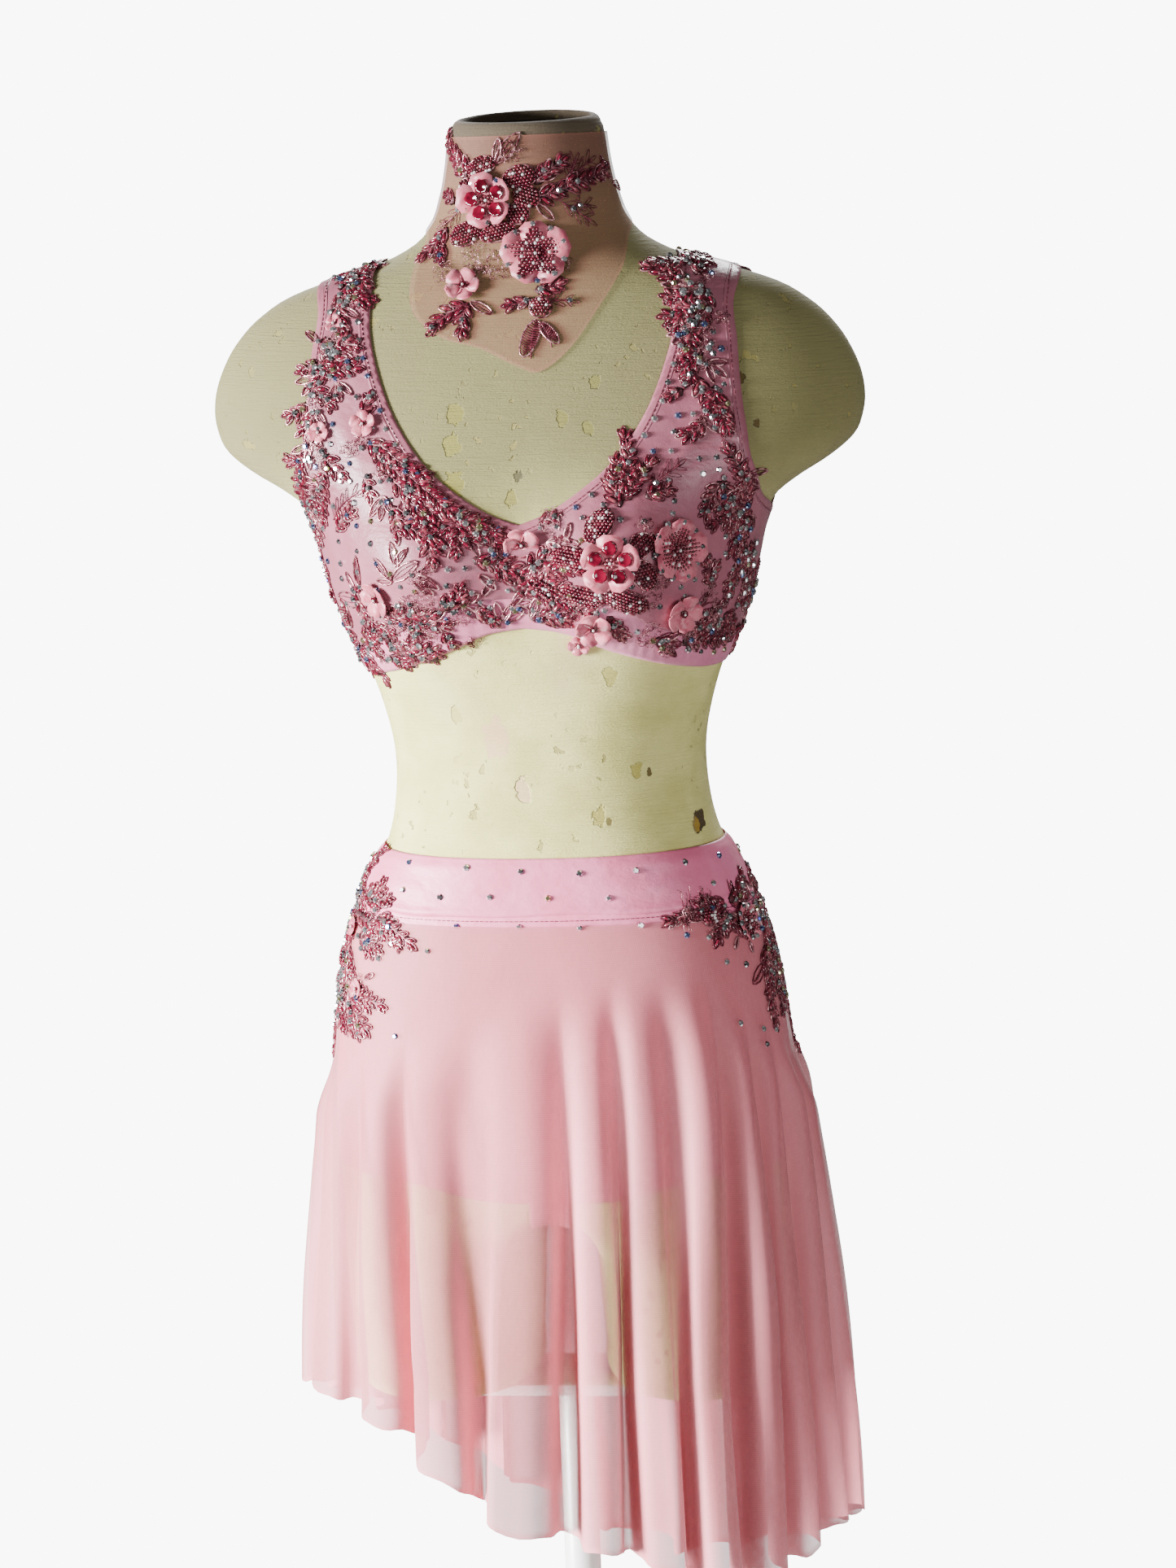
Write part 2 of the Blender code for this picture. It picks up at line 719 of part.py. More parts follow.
def hem_height(turn, column=0):
    """Height of the top's lower edge (column 0), or of the seam above its band (column 1)."""
    return read_rows(HEM_ROWS, abs(unwound(turn)))[column]


def hem_line(count, side):
    """The seam above the elastic band, from the viewer's left to right."""
    reach = math.pi / 2 - SIDE_SEAM_TURN
    turns = np.linspace(-reach, reach, count)
    if side > 0:
        turns = math.pi - turns
    heights = np.array([hem_height(turn, 1) for turn in turns]) + UNDERBUST_GAP
    return section_point(turns, heights)


def build_top(look):
    """The top's front and back, each cut in one with its straps."""
    front_beading = motif_points(TOP_FLOWERS, TOP_SPRAYS, lambda x, z: seen_points([(x, z)])[0])
    back_beading = motif_points(BACK_FLOWERS, BACK_SPRAYS, lambda x, z: seen_points([(x, z)], 1)[0])
    for name, side, neckline, low, armhole, spacing, raised in (
        ("top_front", -1, NECKLINE_LEFT, NECKLINE_NOTCH, ARMHOLE_LEFT, TOP_SPACING, front_beading),
        ("top_back", 1, BACK_NECKLINE_LEFT, BACK_NECKLINE_LOW, BACK_ARMHOLE_LEFT, BACK_SPACING, back_beading),
    ):
        seam = side * SEAM_GAP * 0.75
        neck = np.concatenate([
            [shoulder_point(-SHOULDER_INNER_X, seam)],
            seen_points(neckline, side),
            seen_points([low], side),
        ])
        arm = np.concatenate([
            [side_point(SIDE_TOP_Z, seam)],
            seen_points(armhole[::-1], side),
            [shoulder_point(-SHOULDER_OUTER_X, seam)],
        ])
        neck = smooth_path(neck, 16 if side < 0 else 12)
        arm = smooth_path(arm, 12 if side < 0 else 10)
        hem = hem_line(29, side)
        sides = np.array([side_point(z, seam) for z in np.linspace(hem[0, 2], SIDE_TOP_Z, 8)[1:-1]])
        across = np.linspace(SHOULDER_OUTER_X, SHOULDER_INNER_X, 5)[1:-1]
        shoulder = np.array([shoulder_point(-x, seam) for x in across])
        left = np.concatenate([sides, arm, shoulder, neck])
        edge = np.concatenate([hem, left * (-1, 1, 1), left[:-1][::-1]])
        loop = split_edges(chest_places(edge * (1, -side, 1)), spacing)
        raised = [(*chest_places(point * (1, -side, 1)), height) for point, height in raised]
        places, faces, heights = filled(loop, square_grid(loop, spacing), raised, spacing)
        rise = places[:, 1]
        turn = places[:, 0] / np.cos(rise)
        on_form = chest_point(turn if side < 0 else math.pi - turn, rise)
        points = settled(lift_off(on_form, FORM_GAP), faces, CLEAR_GAP)
        made = add_mesh(name, points, outwards(points, faces), look)
        thicken(made, SATIN, heights)


def ring_panel(name, columns, shares, top, bottom, place, look, thickness, raised=(), locate=None, least=None):
    """A wall over columns and shares (0 at the top edge, 1 at the bottom edge), with raised beading.

    Place turns a column and a height into a point, and locate turns a point into a column and a share.
    """
    across, down = len(columns), len(shares)
    grid = np.array([(k, j) for k in range(across) for j in range(down)], float)
    edge = (
        [(k, down - 1) for k in range(across)]
        + [(across - 1, j) for j in range(down - 2, -1, -1)]
        + [(k, 0) for k in range(across - 2, -1, -1)]
        + [(0, j) for j in range(1, down - 1)]
    )
    placed = []
    for point, height in raised:
        column, share = locate(point)
        k = np.interp(column, columns, range(across), left=-1, right=-1)
        j = np.interp(share, shares, range(down), left=-1, right=-1)
        placed.append((k, j, height))
    places, faces, heights = filled(np.array(edge, float), grid, placed, 0.85)
    points = []
    for k, j in places:
        column = float(np.interp(k, range(across), columns))
        share = float(np.interp(j, range(down), shares))
        high, low = float(top(column)), float(bottom(column))
        points.append(place(column, high + share * (low - high)))
    points = np.array(points)
    if least:
        points = settled(points, faces, least)
    made = add_mesh(name, points, outwards(points, faces), look)
    thicken(made, thickness, heights if len(raised) else None)
    return made


def lift_off(points, lift):
    return points + form_normal(points) * lift


def lifted_section(turn, z, lift):
    return lift_off(section_point(np.array([turn]), np.array([z])), lift)[0]


def motif_points(flowers, sprays, find):
    """Points that raise beaded flowers and leaf sprays: each is a point of the form and a height."""
    raised = []
    for across, z, radius, height in flowers:
        middle = find(across, z)
        right, up = tangents(middle)
        raised.append((middle, height))
        for spread, share, rise in FLOWER_POINTS:
            for k in range(5):
                ahead = math.radians(90 + 72 * k + spread)
                offset = (right * math.cos(ahead) + up * math.sin(ahead)) * radius * share
                raised.append((middle + offset, height * rise))
    for across, z, heading, length in sprays:
        foot = find(across, z)
        right, up = tangents(foot)
        pairs = max(2, round(length / (0.8 * LEAF_LENGTH)))
        for k in range(pairs + 1):
            angle = math.radians(heading) + 0.25 * k / pairs
            ahead = right * math.cos(angle) + up * math.sin(angle)
            aside = up * math.cos(angle) - right * math.sin(angle)
            stem = foot + ahead * length * k / pairs
            raised.append((stem, LEAF_HEIGHT))
            if k == pairs:
                continue
            for hand in (-1, 1):
                leaf = (ahead * 0.6 + aside * hand * 0.8) * LEAF_LENGTH
                raised.append((stem + leaf * 0.55, LEAF_HEIGHT * 1.2))
                raised.append((stem + leaf * 1.15, 0.0))
                raised.append((stem + leaf * 0.7 - ahead * 0.35 * LEAF_LENGTH, 0.0))
    return raised


def tangents(point):
    """The directions to the viewer's right and upwards on the form at a point."""
    normal = form_normal(point[None])[0]
    right = np.cross(normal, (0, 0, -1.0))
    right /= np.linalg.norm(right)
    return right, np.cross(normal, right)


def halves():
    """The front and back halves of what goes round the form: name ending, first and last turn."""
    return (
        ("front", -math.pi / 2 + SIDE_SEAM_TURN, math.pi / 2 - SIDE_SEAM_TURN),
        ("back", math.pi / 2 + SIDE_SEAM_TURN, 1.5 * math.pi - SIDE_SEAM_TURN),
    )


def unwound(turn):
    """A turn in radians as degrees between -180 and 180."""
    return (math.degrees(turn) + 180) % 360 - 180


def turn_of(point):
    """The turn at which a section of the form passes nearest a point."""
    half, front, back, power = [float(v) for v in read_rows(FORM_ROWS, point[2])]
    depth = front if point[1] < 0 else back
    side = math.copysign((abs(point[0]) / half) ** (power / 2), point[0])
    ahead = -math.copysign((abs(point[1]) / depth) ** (power / 2), point[1])
    return math.atan2(side, ahead)


def build_underband(look):
    """The narrow elastic band under the bust, front and back."""
    for ending, first, last in halves():
        ring_panel(
            "underband_" + ending,
            np.linspace(first, last, 29),
            np.linspace(0, 1, 3),
            lambda turn: hem_height(turn, 1),
            lambda turn: hem_height(turn),
            lambda turn, z: lifted_section(turn, z, FORM_GAP),
            look,
            BAND,
            least=CLEAR_GAP,
        )


def bearing_to_turn(bearing, z):
    """The turn of the form's section that lies at a true bearing from centre front."""
    half, front, back, power = [float(v) for v in read_rows(FORM_ROWS, z)]
    depth = front if math.cos(bearing) > 0 else back
    return math.atan2(math.sin(bearing) * depth, math.cos(bearing) * half)


def build_neck_piece(look):
    """The sheer collar with its pointed front, closed edge to edge at centre back."""
    slit = 0.006
    bearings = np.concatenate([
        np.linspace(-math.pi + slit, -1.60, 6),
        np.linspace(-1.40, 1.40, 21),
        np.linspace(1.60, math.pi - slit, 6),
    ])

    def bottom(bearing):
        return read_rows(BIB_ROWS, math.degrees(bearing))[0]

    def locate(point):
        bearing = math.atan2(point[0], -point[1])
        return bearing, (COLLAR_TOP - point[2]) / (COLLAR_TOP - float(bottom(bearing)))

    ring_panel(
        "neck_piece",
        bearings,
        np.linspace(0, 1, 9),
        lambda bearing: COLLAR_TOP,
        bottom,
        lambda bearing, z: lifted_section(bearing_to_turn(bearing, z), z, FORM_GAP),
        look,
        MESH_CLOTH,
        motif_points(NECK_FLOWERS, NECK_SPRAYS, lambda x, z: seen_points([(x, z)])[0]),
        locate,
        CLEAR_GAP,
    )


def hip_beading(low_turn, high_turn, low, high):
    """The hips' beading that lies between two turns and two heights."""
    def find(turn, z):
        return section_point(np.array([math.radians(turn)]), np.array([z]))[0]

    kept = []
    for point, height in motif_points(HIP_FLOWERS, HIP_SPRAYS, find):
        if low_turn < turn_of(point) < high_turn and low < point[2] < high:
            kept.append((point, height))
    return kept


def build_waistband(look):
    """The satin waistband."""
    def locate(point):
        return turn_of(point), (WAIST_TOP - point[2]) / (WAIST_TOP - WAIST_LOW)

    for ending, first, last in halves():
        ring_panel(
            "waistband_" + ending,
            np.linspace(first, last, 25),
            np.array((0.0, 0.33, 0.66, 1.0)),
            lambda turn: WAIST_TOP,
            lambda turn: WAIST_LOW,
            lambda turn, z: lifted_section(turn, z, FORM_GAP),
            look,
            BAND,
            hip_beading(first, last, WAIST_LOW, WAIST_TOP),
            locate,
            CLEAR_GAP,
        )


def leg_edge(turn):
    """Height of the briefs' leg edge at a turn in radians."""
    away = abs(unwound(turn))
    return float(read_rows(LEG_EDGE_ROWS, min(away, 180 - away))[0])


def build_briefs(look):
    """The briefs' front and back, each with its half of the strip under the crotch."""
    shares = np.linspace(0, 1, 6)
    top = WAIST_LOW - SEAM_GAP
    for ending, first, last in halves():
        middle = (first + last) / 2
        depth = abs(float(section_point(np.array([middle]), np.array([CROTCH_Z + 0.01]))[0, 1]))
        wide = np.linspace(-1, 1, 5) * GUSSET_HALF / FORM_ROWS[0][1]
        strip = np.sign(wide) * np.arcsin(np.abs(wide) ** (FORM_ROWS[0][4] / 2))
        side = np.linspace(first, middle + strip[0] * 2.2, 11)
        turns = np.concatenate([side, middle + strip, (2 * middle - side)[::-1]])
        points = [
            section_point(np.array([turn]), np.array([leg_edge(turn) + share * (top - leg_edge(turn))]))[0]
            for turn in turns
            for share in shares
        ]
        points = lift_off(np.array(points), FORM_GAP)
        down = len(shares)
        triangles = []
        for k in range(len(turns) - 1):
            for j in range(down - 1):
                a, b = k * down + j, (k + 1) * down + j
                triangles.extend([(a, b, b + 1), (a, b + 1, a + 1)])
        points = list(settled(points, triangles, CLEAR_GAP))
        above = [(len(side) + k) * down for k in range(len(strip))]
        sign = -1 if ending == "front" else 1
        for distance, drop in (
            (depth + FORM_GAP, -0.0060),
            (depth - 0.0005, 0.0030),
            (depth - 0.0080, 0.0050),
            (depth * 0.55, 0.0055),
            (SEAM_GAP / 2, 0.0060),
        ):
            below = []
            for place in above:
                x = points[place][0]
                arch = GUSSET_RISE * (x / GUSSET_HALF) ** 2
                points.append(np.array([x, sign * distance, CROTCH_Z - drop - arch]))
                below.append(len(points) - 1)
            for k in range(len(strip) - 1):
                triangles.append((below[k], below[k + 1], above[k + 1]))
                triangles.append((below[k], above[k + 1], above[k]))
            above = below
        points = np.array(points)
        made = add_mesh("briefs_" + ending, points, outwards(points, triangles), look)
        thicken(made, MESH_CLOTH)


def fold_turns(folds, z):
    """The turns of the crests of a half skirt's folds at a height, in radians."""
    table = np.array(folds)
    fall = min(max((WAIST_LOW - z) / 0.30, 0.0), 1.0)
    return np.radians(table[:, 0] + (table[:, 1] - table[:, 0]) * fall)


def skirt_point(folds, phase, z, lift):
    """A point of the skirt's inner face: snug at the hips, then hanging in folds. Crests are at whole phases."""
    table = np.array(folds)
    crests = fold_turns(folds, z)
    places = np.arange(len(folds))
    share = phase - math.floor(phase)
    depth = np.interp(phase, places, table[:, 2])
    start = np.interp(phase, places, table[:, 3])
    grown = min(max((start - z) / FOLD_GROWTH, 0.0), 1.0)
    grown = grown * grown * (3 - 2 * grown)
    full = min(max((start - z) / (4 * FOLD_GROWTH), 0.0), 1.0)
    shift = FOLD_PINCH * math.sin(2 * math.pi * share) + FOLD_STEEPNESS * math.sin(4 * math.pi * share)
    turn = float(np.interp(phase + shift * full, places, crests))
    ridge = 0.5 + 0.5 * math.cos(2 * math.pi * share)
    half, front, back, power = [float(v) for v in read_rows(FORM_ROWS, z)]
    hang_half, hang_front, hang_back, reach = [float(v) for v in read_rows(HANG_ROWS, z)]
    out = reach * depth * ridge * grown
    half = max(half + lift, hang_half) + out
    front = max(front + lift, hang_front) + out
    back = max(back + lift, hang_back) + out
    side, ahead = math.sin(turn), math.cos(turn)
    x = half * math.copysign(abs(side) ** (2 / power), side)
    y = (front if ahead > 0 else back) * -math.copysign(abs(ahead) ** (2 / power), ahead)
    if abs(y) < SEAM_GAP / 2:
        y = math.copysign(SEAM_GAP / 2, -ahead)
    return np.array([x, y, z])


def build_skirt(look):
    """The two sheer half skirts, joined at the sides on the crest of a fold."""
    lift = FORM_GAP + MESH_CLOTH + LAYER_GAP
    top = WAIST_LOW - SEAM_GAP
    for folds, (ending, first, last) in zip((FRONT_FOLDS, BACK_FOLDS), halves()):
        sides = list(folds)
        sides[0] = (math.degrees(first), math.degrees(first), *folds[0][2:])
        sides[-1] = (math.degrees(last), math.degrees(last), *folds[-1][2:])

        def hem(phase, sides=sides):
            turn = np.interp(phase, range(len(sides)), fold_turns(sides, 0.3))
            return float(read_rows(SKIRT_HEM_ROWS, unwound(turn))[0])

        def locate(point, sides=sides, hem=hem):
            phase = np.interp(turn_of(point), fold_turns(sides, point[2]), range(len(sides)))
            return phase, (top - point[2]) / (top - hem(phase))

        phases = np.arange(5 * (len(sides) - 1) + 1) / 5
        ring_panel(
            "skirt_" + ending,
            phases,
            np.array((0.0, 0.05, 0.11, 0.18, 0.27, 0.38, 0.51, 0.66, 0.83, 1.0)),
            lambda phase: top,
            hem,
            lambda phase, z, sides=sides: skirt_point(sides, phase, z, lift),
            look,
            MESH_CLOTH,
            hip_beading(first, last, 0.60, top) if ending == "front" else (),
            locate,
            lift,
        )


clear_scene()
PARTS = bpy.data.collections.new("lyrical_dance_costume_on_dress_form")
bpy.context.scene.collection.children.link(PARTS)
build_form(material("form_cream", (0.82, 0.78, 0.62), 0.75))
build_stand(material("stand_paint", (0.80, 0.79, 0.77), 0.45))
build_neck_piece(material("sheer_mesh_neck", (0.78, 0.52, 0.54), 0.70))
build_top(material("satin", (0.72, 0.44, 0.53), 0.40))
build_underband(material("satin_band", (0.70, 0.42, 0.50), 0.45))
build_waistband(material("satin_waist", (0.73, 0.45, 0.52), 0.40))
build_briefs(material("satin_briefs", (0.72, 0.44, 0.52), 0.45))
build_skirt(material("sheer_mesh", (0.78, 0.50, 0.53), 0.70))
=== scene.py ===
"""Looks of a lyrical dance costume on its dress form: fine cloth, beaded lace, stones, floor and light.

Metres, +Z up, in the frame of the CAD model. The front faces -Y and the viewer's right is +X.
"""

import math

import bmesh
import bpy
import numpy as np
from mathutils import Matrix, Vector
from mathutils.bvhtree import BVHTree
from mathutils.geometry import delaunay_2d_cdt


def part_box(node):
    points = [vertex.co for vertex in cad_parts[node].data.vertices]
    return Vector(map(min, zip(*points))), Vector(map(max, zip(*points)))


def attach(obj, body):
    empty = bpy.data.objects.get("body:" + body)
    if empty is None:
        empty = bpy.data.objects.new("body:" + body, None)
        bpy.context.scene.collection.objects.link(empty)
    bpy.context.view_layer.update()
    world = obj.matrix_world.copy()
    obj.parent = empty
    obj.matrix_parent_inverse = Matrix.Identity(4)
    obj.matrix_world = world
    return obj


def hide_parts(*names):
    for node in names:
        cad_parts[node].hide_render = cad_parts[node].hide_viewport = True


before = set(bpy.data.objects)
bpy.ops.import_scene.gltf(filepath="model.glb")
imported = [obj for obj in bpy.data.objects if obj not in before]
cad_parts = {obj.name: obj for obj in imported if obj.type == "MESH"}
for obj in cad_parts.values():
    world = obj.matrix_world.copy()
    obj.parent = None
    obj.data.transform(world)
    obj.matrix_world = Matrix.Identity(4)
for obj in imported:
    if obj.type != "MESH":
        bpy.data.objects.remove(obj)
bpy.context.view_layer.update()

# Stand
# A round steel foot, a pole and the plate under both thigh stumps, all in pale paint.
# Each is turned or cut from sheet with its sharp edges broken.
BASE_RADIUS, BASE_HEIGHT = 0.180, 0.014
POLE_RADIUS = 0.0125
EDGE_BREAK, PLATE_CORNER = 0.0012, 0.010


def add_node(tree, kind, inputs=(), **settings):
    """A node with its settings, and with values or other nodes' sockets on its inputs."""
    made = tree.nodes.new(kind)
    for label, value in settings.items():
        setattr(made, label, value)
    for label, given in dict(inputs).items():
        if isinstance(given, bpy.types.NodeSocket):
            tree.links.new(given, made.inputs[label])
        else:
            made.inputs[label].default_value = given
    return made


class Look:
    """A material, with sockets over its piece's own metres to vary it by."""

    def __init__(self, name, colour, roughness, **values):
        self.material = bpy.data.materials.new(name)
        self.material.use_nodes = True
        self.tree = self.material.node_tree
        self.main = self.tree.nodes["Principled BSDF"]
        values.update(Base_Color=(*colour, 1.0), Roughness=roughness)
        for label, value in values.items():
            self.main.inputs[label.replace("_", " ")].default_value = value

    def node(self, kind, output, inputs=(), **settings):
        """An output of a new node."""
        return add_node(self.tree, kind, inputs, **settings).outputs[output]

    def here(self):
        """The place on the piece in metres."""
        return self.node("ShaderNodeTexCoord", "Object")

    def value(self, name):
        """The piece's own number at each point."""
        return self.node("ShaderNodeAttribute", "Fac", attribute_name=name)

    def noise(self, scale, stretch=(1, 1, 1), detail=3.0):
        place = self.node("ShaderNodeMapping", "Vector", {"Vector": self.here(), "Scale": stretch})
        return self.node("ShaderNodeTexNoise", "Fac", {"Vector": place, "Scale": scale, "Detail": detail})

    def calc(self, kind, *given):
        """Sockets and numbers joined from left to right by one kind of sum."""
        made = given[0]
        for other in given[1:]:
            made = self.node("ShaderNodeMath", "Value", {0: made, 1: other}, operation=kind)
        return made

    def times(self, socket, number):
        return self.calc("MULTIPLY", socket, number)

    def step(self, value, low, high, most=1.0):
        """Rises smoothly from 0 at low to its most at high."""
        sizes = {"Value": value, "From Min": low, "From Max": high, "To Max": most}
        return self.node("ShaderNodeMapRange", "Result", sizes, interpolation_type="SMOOTHSTEP")

    def blend(self, under, over, share):
        """One colour laid over another by a share from 0 to 1."""
        under, over = ((*tint, 1) if isinstance(tint, tuple) else tint for tint in (under, over))
        given = {"A": under, "B": over, "Factor": share}
        return self.node("ShaderNodeMix", "Result", given, data_type="RGBA")

    def show(self, label, socket):
        """Puts a socket on an input of the main shader."""
        self.tree.links.new(socket, self.main.inputs[label])

    def bump(self, height, strength=1.0, distance=1.0):
        """Roughens the surface by a height socket."""
        sizes = {"Strength": strength, "Distance": distance, "Height": height}
        self.show("Normal", self.node("ShaderNodeBump", "Normal", sizes))

    def mottle(self, dark, light, low, high, *noise):
        """Colours the piece in patches, dark below one value of the noise and light above another."""
        self.show("Base Color", self.blend(dark, light, self.step(self.noise(*noise), low, high)))


def placed(name, data):
    """An object in the scene."""
    made = bpy.data.objects.new(name, data)
    bpy.context.scene.collection.objects.link(made)
    return made


def new_mesh(name, points, faces=(), edges=()):
    made = bpy.data.meshes.new(name)
    made.from_pydata(np.asarray(points, float).tolist(), edges, [[int(k) for k in face] for face in faces])
    return made


def new_piece(name, points, faces, looks, face_looks=None):
    """A smooth mesh object that rides on the model's one body."""
    mesh = new_mesh(name, points, faces)
    for look in looks:
        mesh.materials.append(look.material)
    if face_looks is not None:
        mesh.polygons.foreach_set("material_index", np.asarray(face_looks, np.int32))
    made = placed(name, mesh)
    mesh.shade_smooth()
    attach(made, "root")
    return made


def shows(node):
    """The piece shows a node of the CAD model."""
    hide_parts(node)


def lathe_faces(rings, around):
    """The caps and quads of a closed shape of rings."""
    last = (rings - 1) * around
    faces = [tuple(reversed(range(around))), tuple(range(last, last + around))]
    for low in range(0, last, around):
        for k in range(around):
            after = (k + 1) % around
            faces.append((low + k, low + after, low + around + after, low + around + k))
    return faces


def turned(name, profile, look, around=96):
    """A round piece about the vertical axis from (radius, height) pairs, bottom to top."""
    angles = np.linspace(0, 2 * math.pi, around, endpoint=False)
    points = [(r * math.cos(a), r * math.sin(a), z) for r, z in profile for a in angles]
    made = new_piece(name, points, lathe_faces(len(profile), around), [look])
    made.data.set_sharp_from_angle(angle=math.radians(50))
    return made


def build_stand():
    look = Look("pale_paint", (0.80, 0.79, 0.77), 0.38, Coat_Weight=0.25)
    look.bump(look.noise(420.0), 0.06, 0.0004)
    edge = EDGE_BREAK
    foot = turned("stand_foot", (
        (BASE_RADIUS - edge, 0.0),
        (BASE_RADIUS, edge),
        (BASE_RADIUS, BASE_HEIGHT - 3 * edge),
        (BASE_RADIUS - 0.9 * edge, BASE_HEIGHT - 0.9 * edge),
        (BASE_RADIUS - 3 * edge, BASE_HEIGHT),
    ), look)
    low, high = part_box("stand_pole")
    post = turned("stand_post", (
        (POLE_RADIUS - edge / 2, low.z),
        (POLE_RADIUS, low.z + edge / 2),
        (POLE_RADIUS, high.z - edge / 2),
        (POLE_RADIUS - edge / 2, high.z),
    ), look, 48)
    low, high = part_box("stand_plate")
    tall = high.z - low.z
    shaped = bmesh.new()
    bmesh.ops.create_cube(shaped, size=1.0)
    bmesh.ops.scale(shaped, vec=high - low, verts=shaped.verts)
    bmesh.ops.translate(shaped, vec=(high + low) / 2, verts=shaped.verts)
    upright = [e for e in shaped.edges if abs(e.verts[0].co.z - e.verts[1].co.z) > tall / 2]
    bmesh.ops.bevel(shaped, geom=upright, offset=PLATE_CORNER, segments=6, affect="EDGES", profile=0.5)
    rims = [e for e in shaped.edges if abs(e.verts[0].co.z - e.verts[1].co.z) < tall / 2]
    bmesh.ops.bevel(shaped, geom=rims, offset=edge, segments=2, affect="EDGES", profile=0.5)
    tray = new_piece("stand_tray", [], [], [look])
    shaped.to_mesh(tray.data)
    shaped.free()
    tray.data.shade_smooth()
    tray.data.set_sharp_from_angle(angle=math.radians(35))
    shows("stand_base")
    shows("stand_pole")
    shows("stand_plate")


build_stand()

# Dress form
# A padded torso without limbs, covered in cream canvas. The top of its neck has a shallow dish,
# the arms end in rounded stumps, and the two short thigh stumps are closed flat underneath.


def from_mm(columns, rows):
    """A table whose lengths, in the named columns, are written in millimetres."""
    return [tuple(v / 1000 if k in columns else v for k, v in enumerate(row)) for row in rows]


# Sections: height, half width, depth in front, depth behind, roundness (2 is an ellipse)
FORM_ROWS = from_mm((0, 1, 2, 3), (
    (500, 156, 83, 100, 2.3), (540, 157, 87, 106, 2.3), (580, 156.5, 90, 109.5, 2.3),
    (620, 154, 91.5, 109, 2.3), (660, 149, 90.5, 104.5, 2.3), (700, 141, 87.5, 97.5, 2.3),
    (740, 127, 83, 88.5, 2.25), (770, 113, 80, 82, 2.2), (800, 107, 78.5, 78, 2.2),
    (830, 106.5, 79.5, 76.5, 2.2), (860, 112.5, 83, 79, 2.2), (890, 122.5, 87, 83, 2.2),
    (920, 135, 91, 87.5, 2.2), (950, 144, 95, 92, 2.2), (980, 152, 97, 96, 2.2),
    (996, 160, 96.8, 98, 2.15), (1008, 176, 96, 99.2, 2.1), (1020, 196, 94.5, 100, 2.05),
    (1034, 213, 92, 100.5, 2), (1050, 220, 88.5, 100.5, 2), (1070, 220.5, 83, 99.5, 2),
    (1090, 214, 76.5, 97, 2), (1108, 203, 69.5, 93.5, 2), (1124, 187, 62, 89, 2),
    (1138, 164, 55.5, 83.5, 2), (1149, 132, 50.5, 78, 2), (1158, 102, 47.5, 73.5, 2),
    (1168, 81, 45.5, 69.5, 2), (1182, 66.5, 44, 66, 2), (1200, 59, 43, 63, 2),
    (1220, 54.5, 42, 61.5, 2), (1240, 52, 41.2, 60.5, 2), (1256, 50, 40, 59, 2),
))
BUST_X, BUST_Z = 0.072, 0.962
BUST_RISE, BUST_WIDTH, BUST_HEIGHT, BUST_BLEND = 0.026, 0.038, 0.036, 0.04
NECK_TOP = 1.256
# Neck rim from the outside in: share of the rim's radius, drop below the top
NECK_RIM = (
    (0.998, 0.0066), (0.985, 0.004), (0.96, 0.0018), (0.925, 0.0004), (0.89, 0.0), (0.86, 0.0012),
    (0.845, 0.0042), (0.835, 0.0062), (0.815, 0.0094), (0.7, 0.011),
)
# The neck's top leans forward: it starts to at this height, and its front is lower by this much
NECK_LEAN_Z, NECK_LEAN = 1.2360, 0.0080
CROTCH_Z, CROTCH_CURVE = 0.516, 0.004
INNER_THIGH_X = 0.0190
THIGH_X, THIGH_Y = 0.0885, 0.008
THIGH_TOP, THIGH_BOTTOM = 0.511, 0.385
# Thigh sections: height, half width, half depth, share of the round shape
THIGH_ROWS = (
    (THIGH_TOP, 0.07, 0.092, 0.0), (0.495, 0.07, 0.091, 0.45), (0.475, 0.069, 0.089, 0.85),
    (0.445, 0.068, 0.0865, 1.0), (0.415, 0.066, 0.0835, 1.0), (0.391, 0.064, 0.081, 1.0),
    (THIGH_BOTTOM, 0.06, 0.077, 1.0),
)


def read_rows(rows, at):
    """The columns of a table at the given values of its first column, joined by smooth cubic stretches."""
    table = np.array(rows, float)
    order = np.argsort(table[:, 0])
    knots = table[order, 0]
    values = table[order, 1:]
    slopes = np.gradient(values, knots, axis=0)
    at = np.clip(np.asarray(at, float), knots[0], knots[-1])
    left = np.clip(np.searchsorted(knots, at, side="right") - 1, 0, len(knots) - 2)
    step = knots[left + 1] - knots[left]
    t = ((at - knots[left]) / step)[..., None]
    step = step[..., None]
    read = (
        values[left] * (1 + 2 * t) * (1 - t) ** 2
        + values[left + 1] * t * t * (3 - 2 * t)
        + slopes[left] * step * t * (1 - t) ** 2
        + slopes[left + 1] * step * t * t * (t - 1)
    )
    return [read[..., column] for column in range(values.shape[1])]


def bell(distance, width):
    """1 at no distance, falling softly to nearly 0 at three widths."""
    return np.exp(-0.5 * (distance / width) ** 2)


def eased(share):
    """A share held between 0 and 1 that starts and ends softly."""
    share = np.clip(share, 0, 1)
    return share * share * (3 - 2 * share)


def bust(x, z):
    """How far the form's bust stands forward of its plain section."""
    sideways = bell(x + BUST_X, BUST_WIDTH) + bell(x - BUST_X, BUST_WIDTH)
    return BUST_RISE * bell(z - BUST_Z, BUST_HEIGHT) * sideways


def lengths(points, axis=0):
    """How far each point is along its line, where lines of points run along an axis."""
    steps = np.linalg.norm(np.diff(points, axis=axis), axis=-1)
    return np.insert(steps.cumsum(axis=axis), 0, 0, axis=axis)


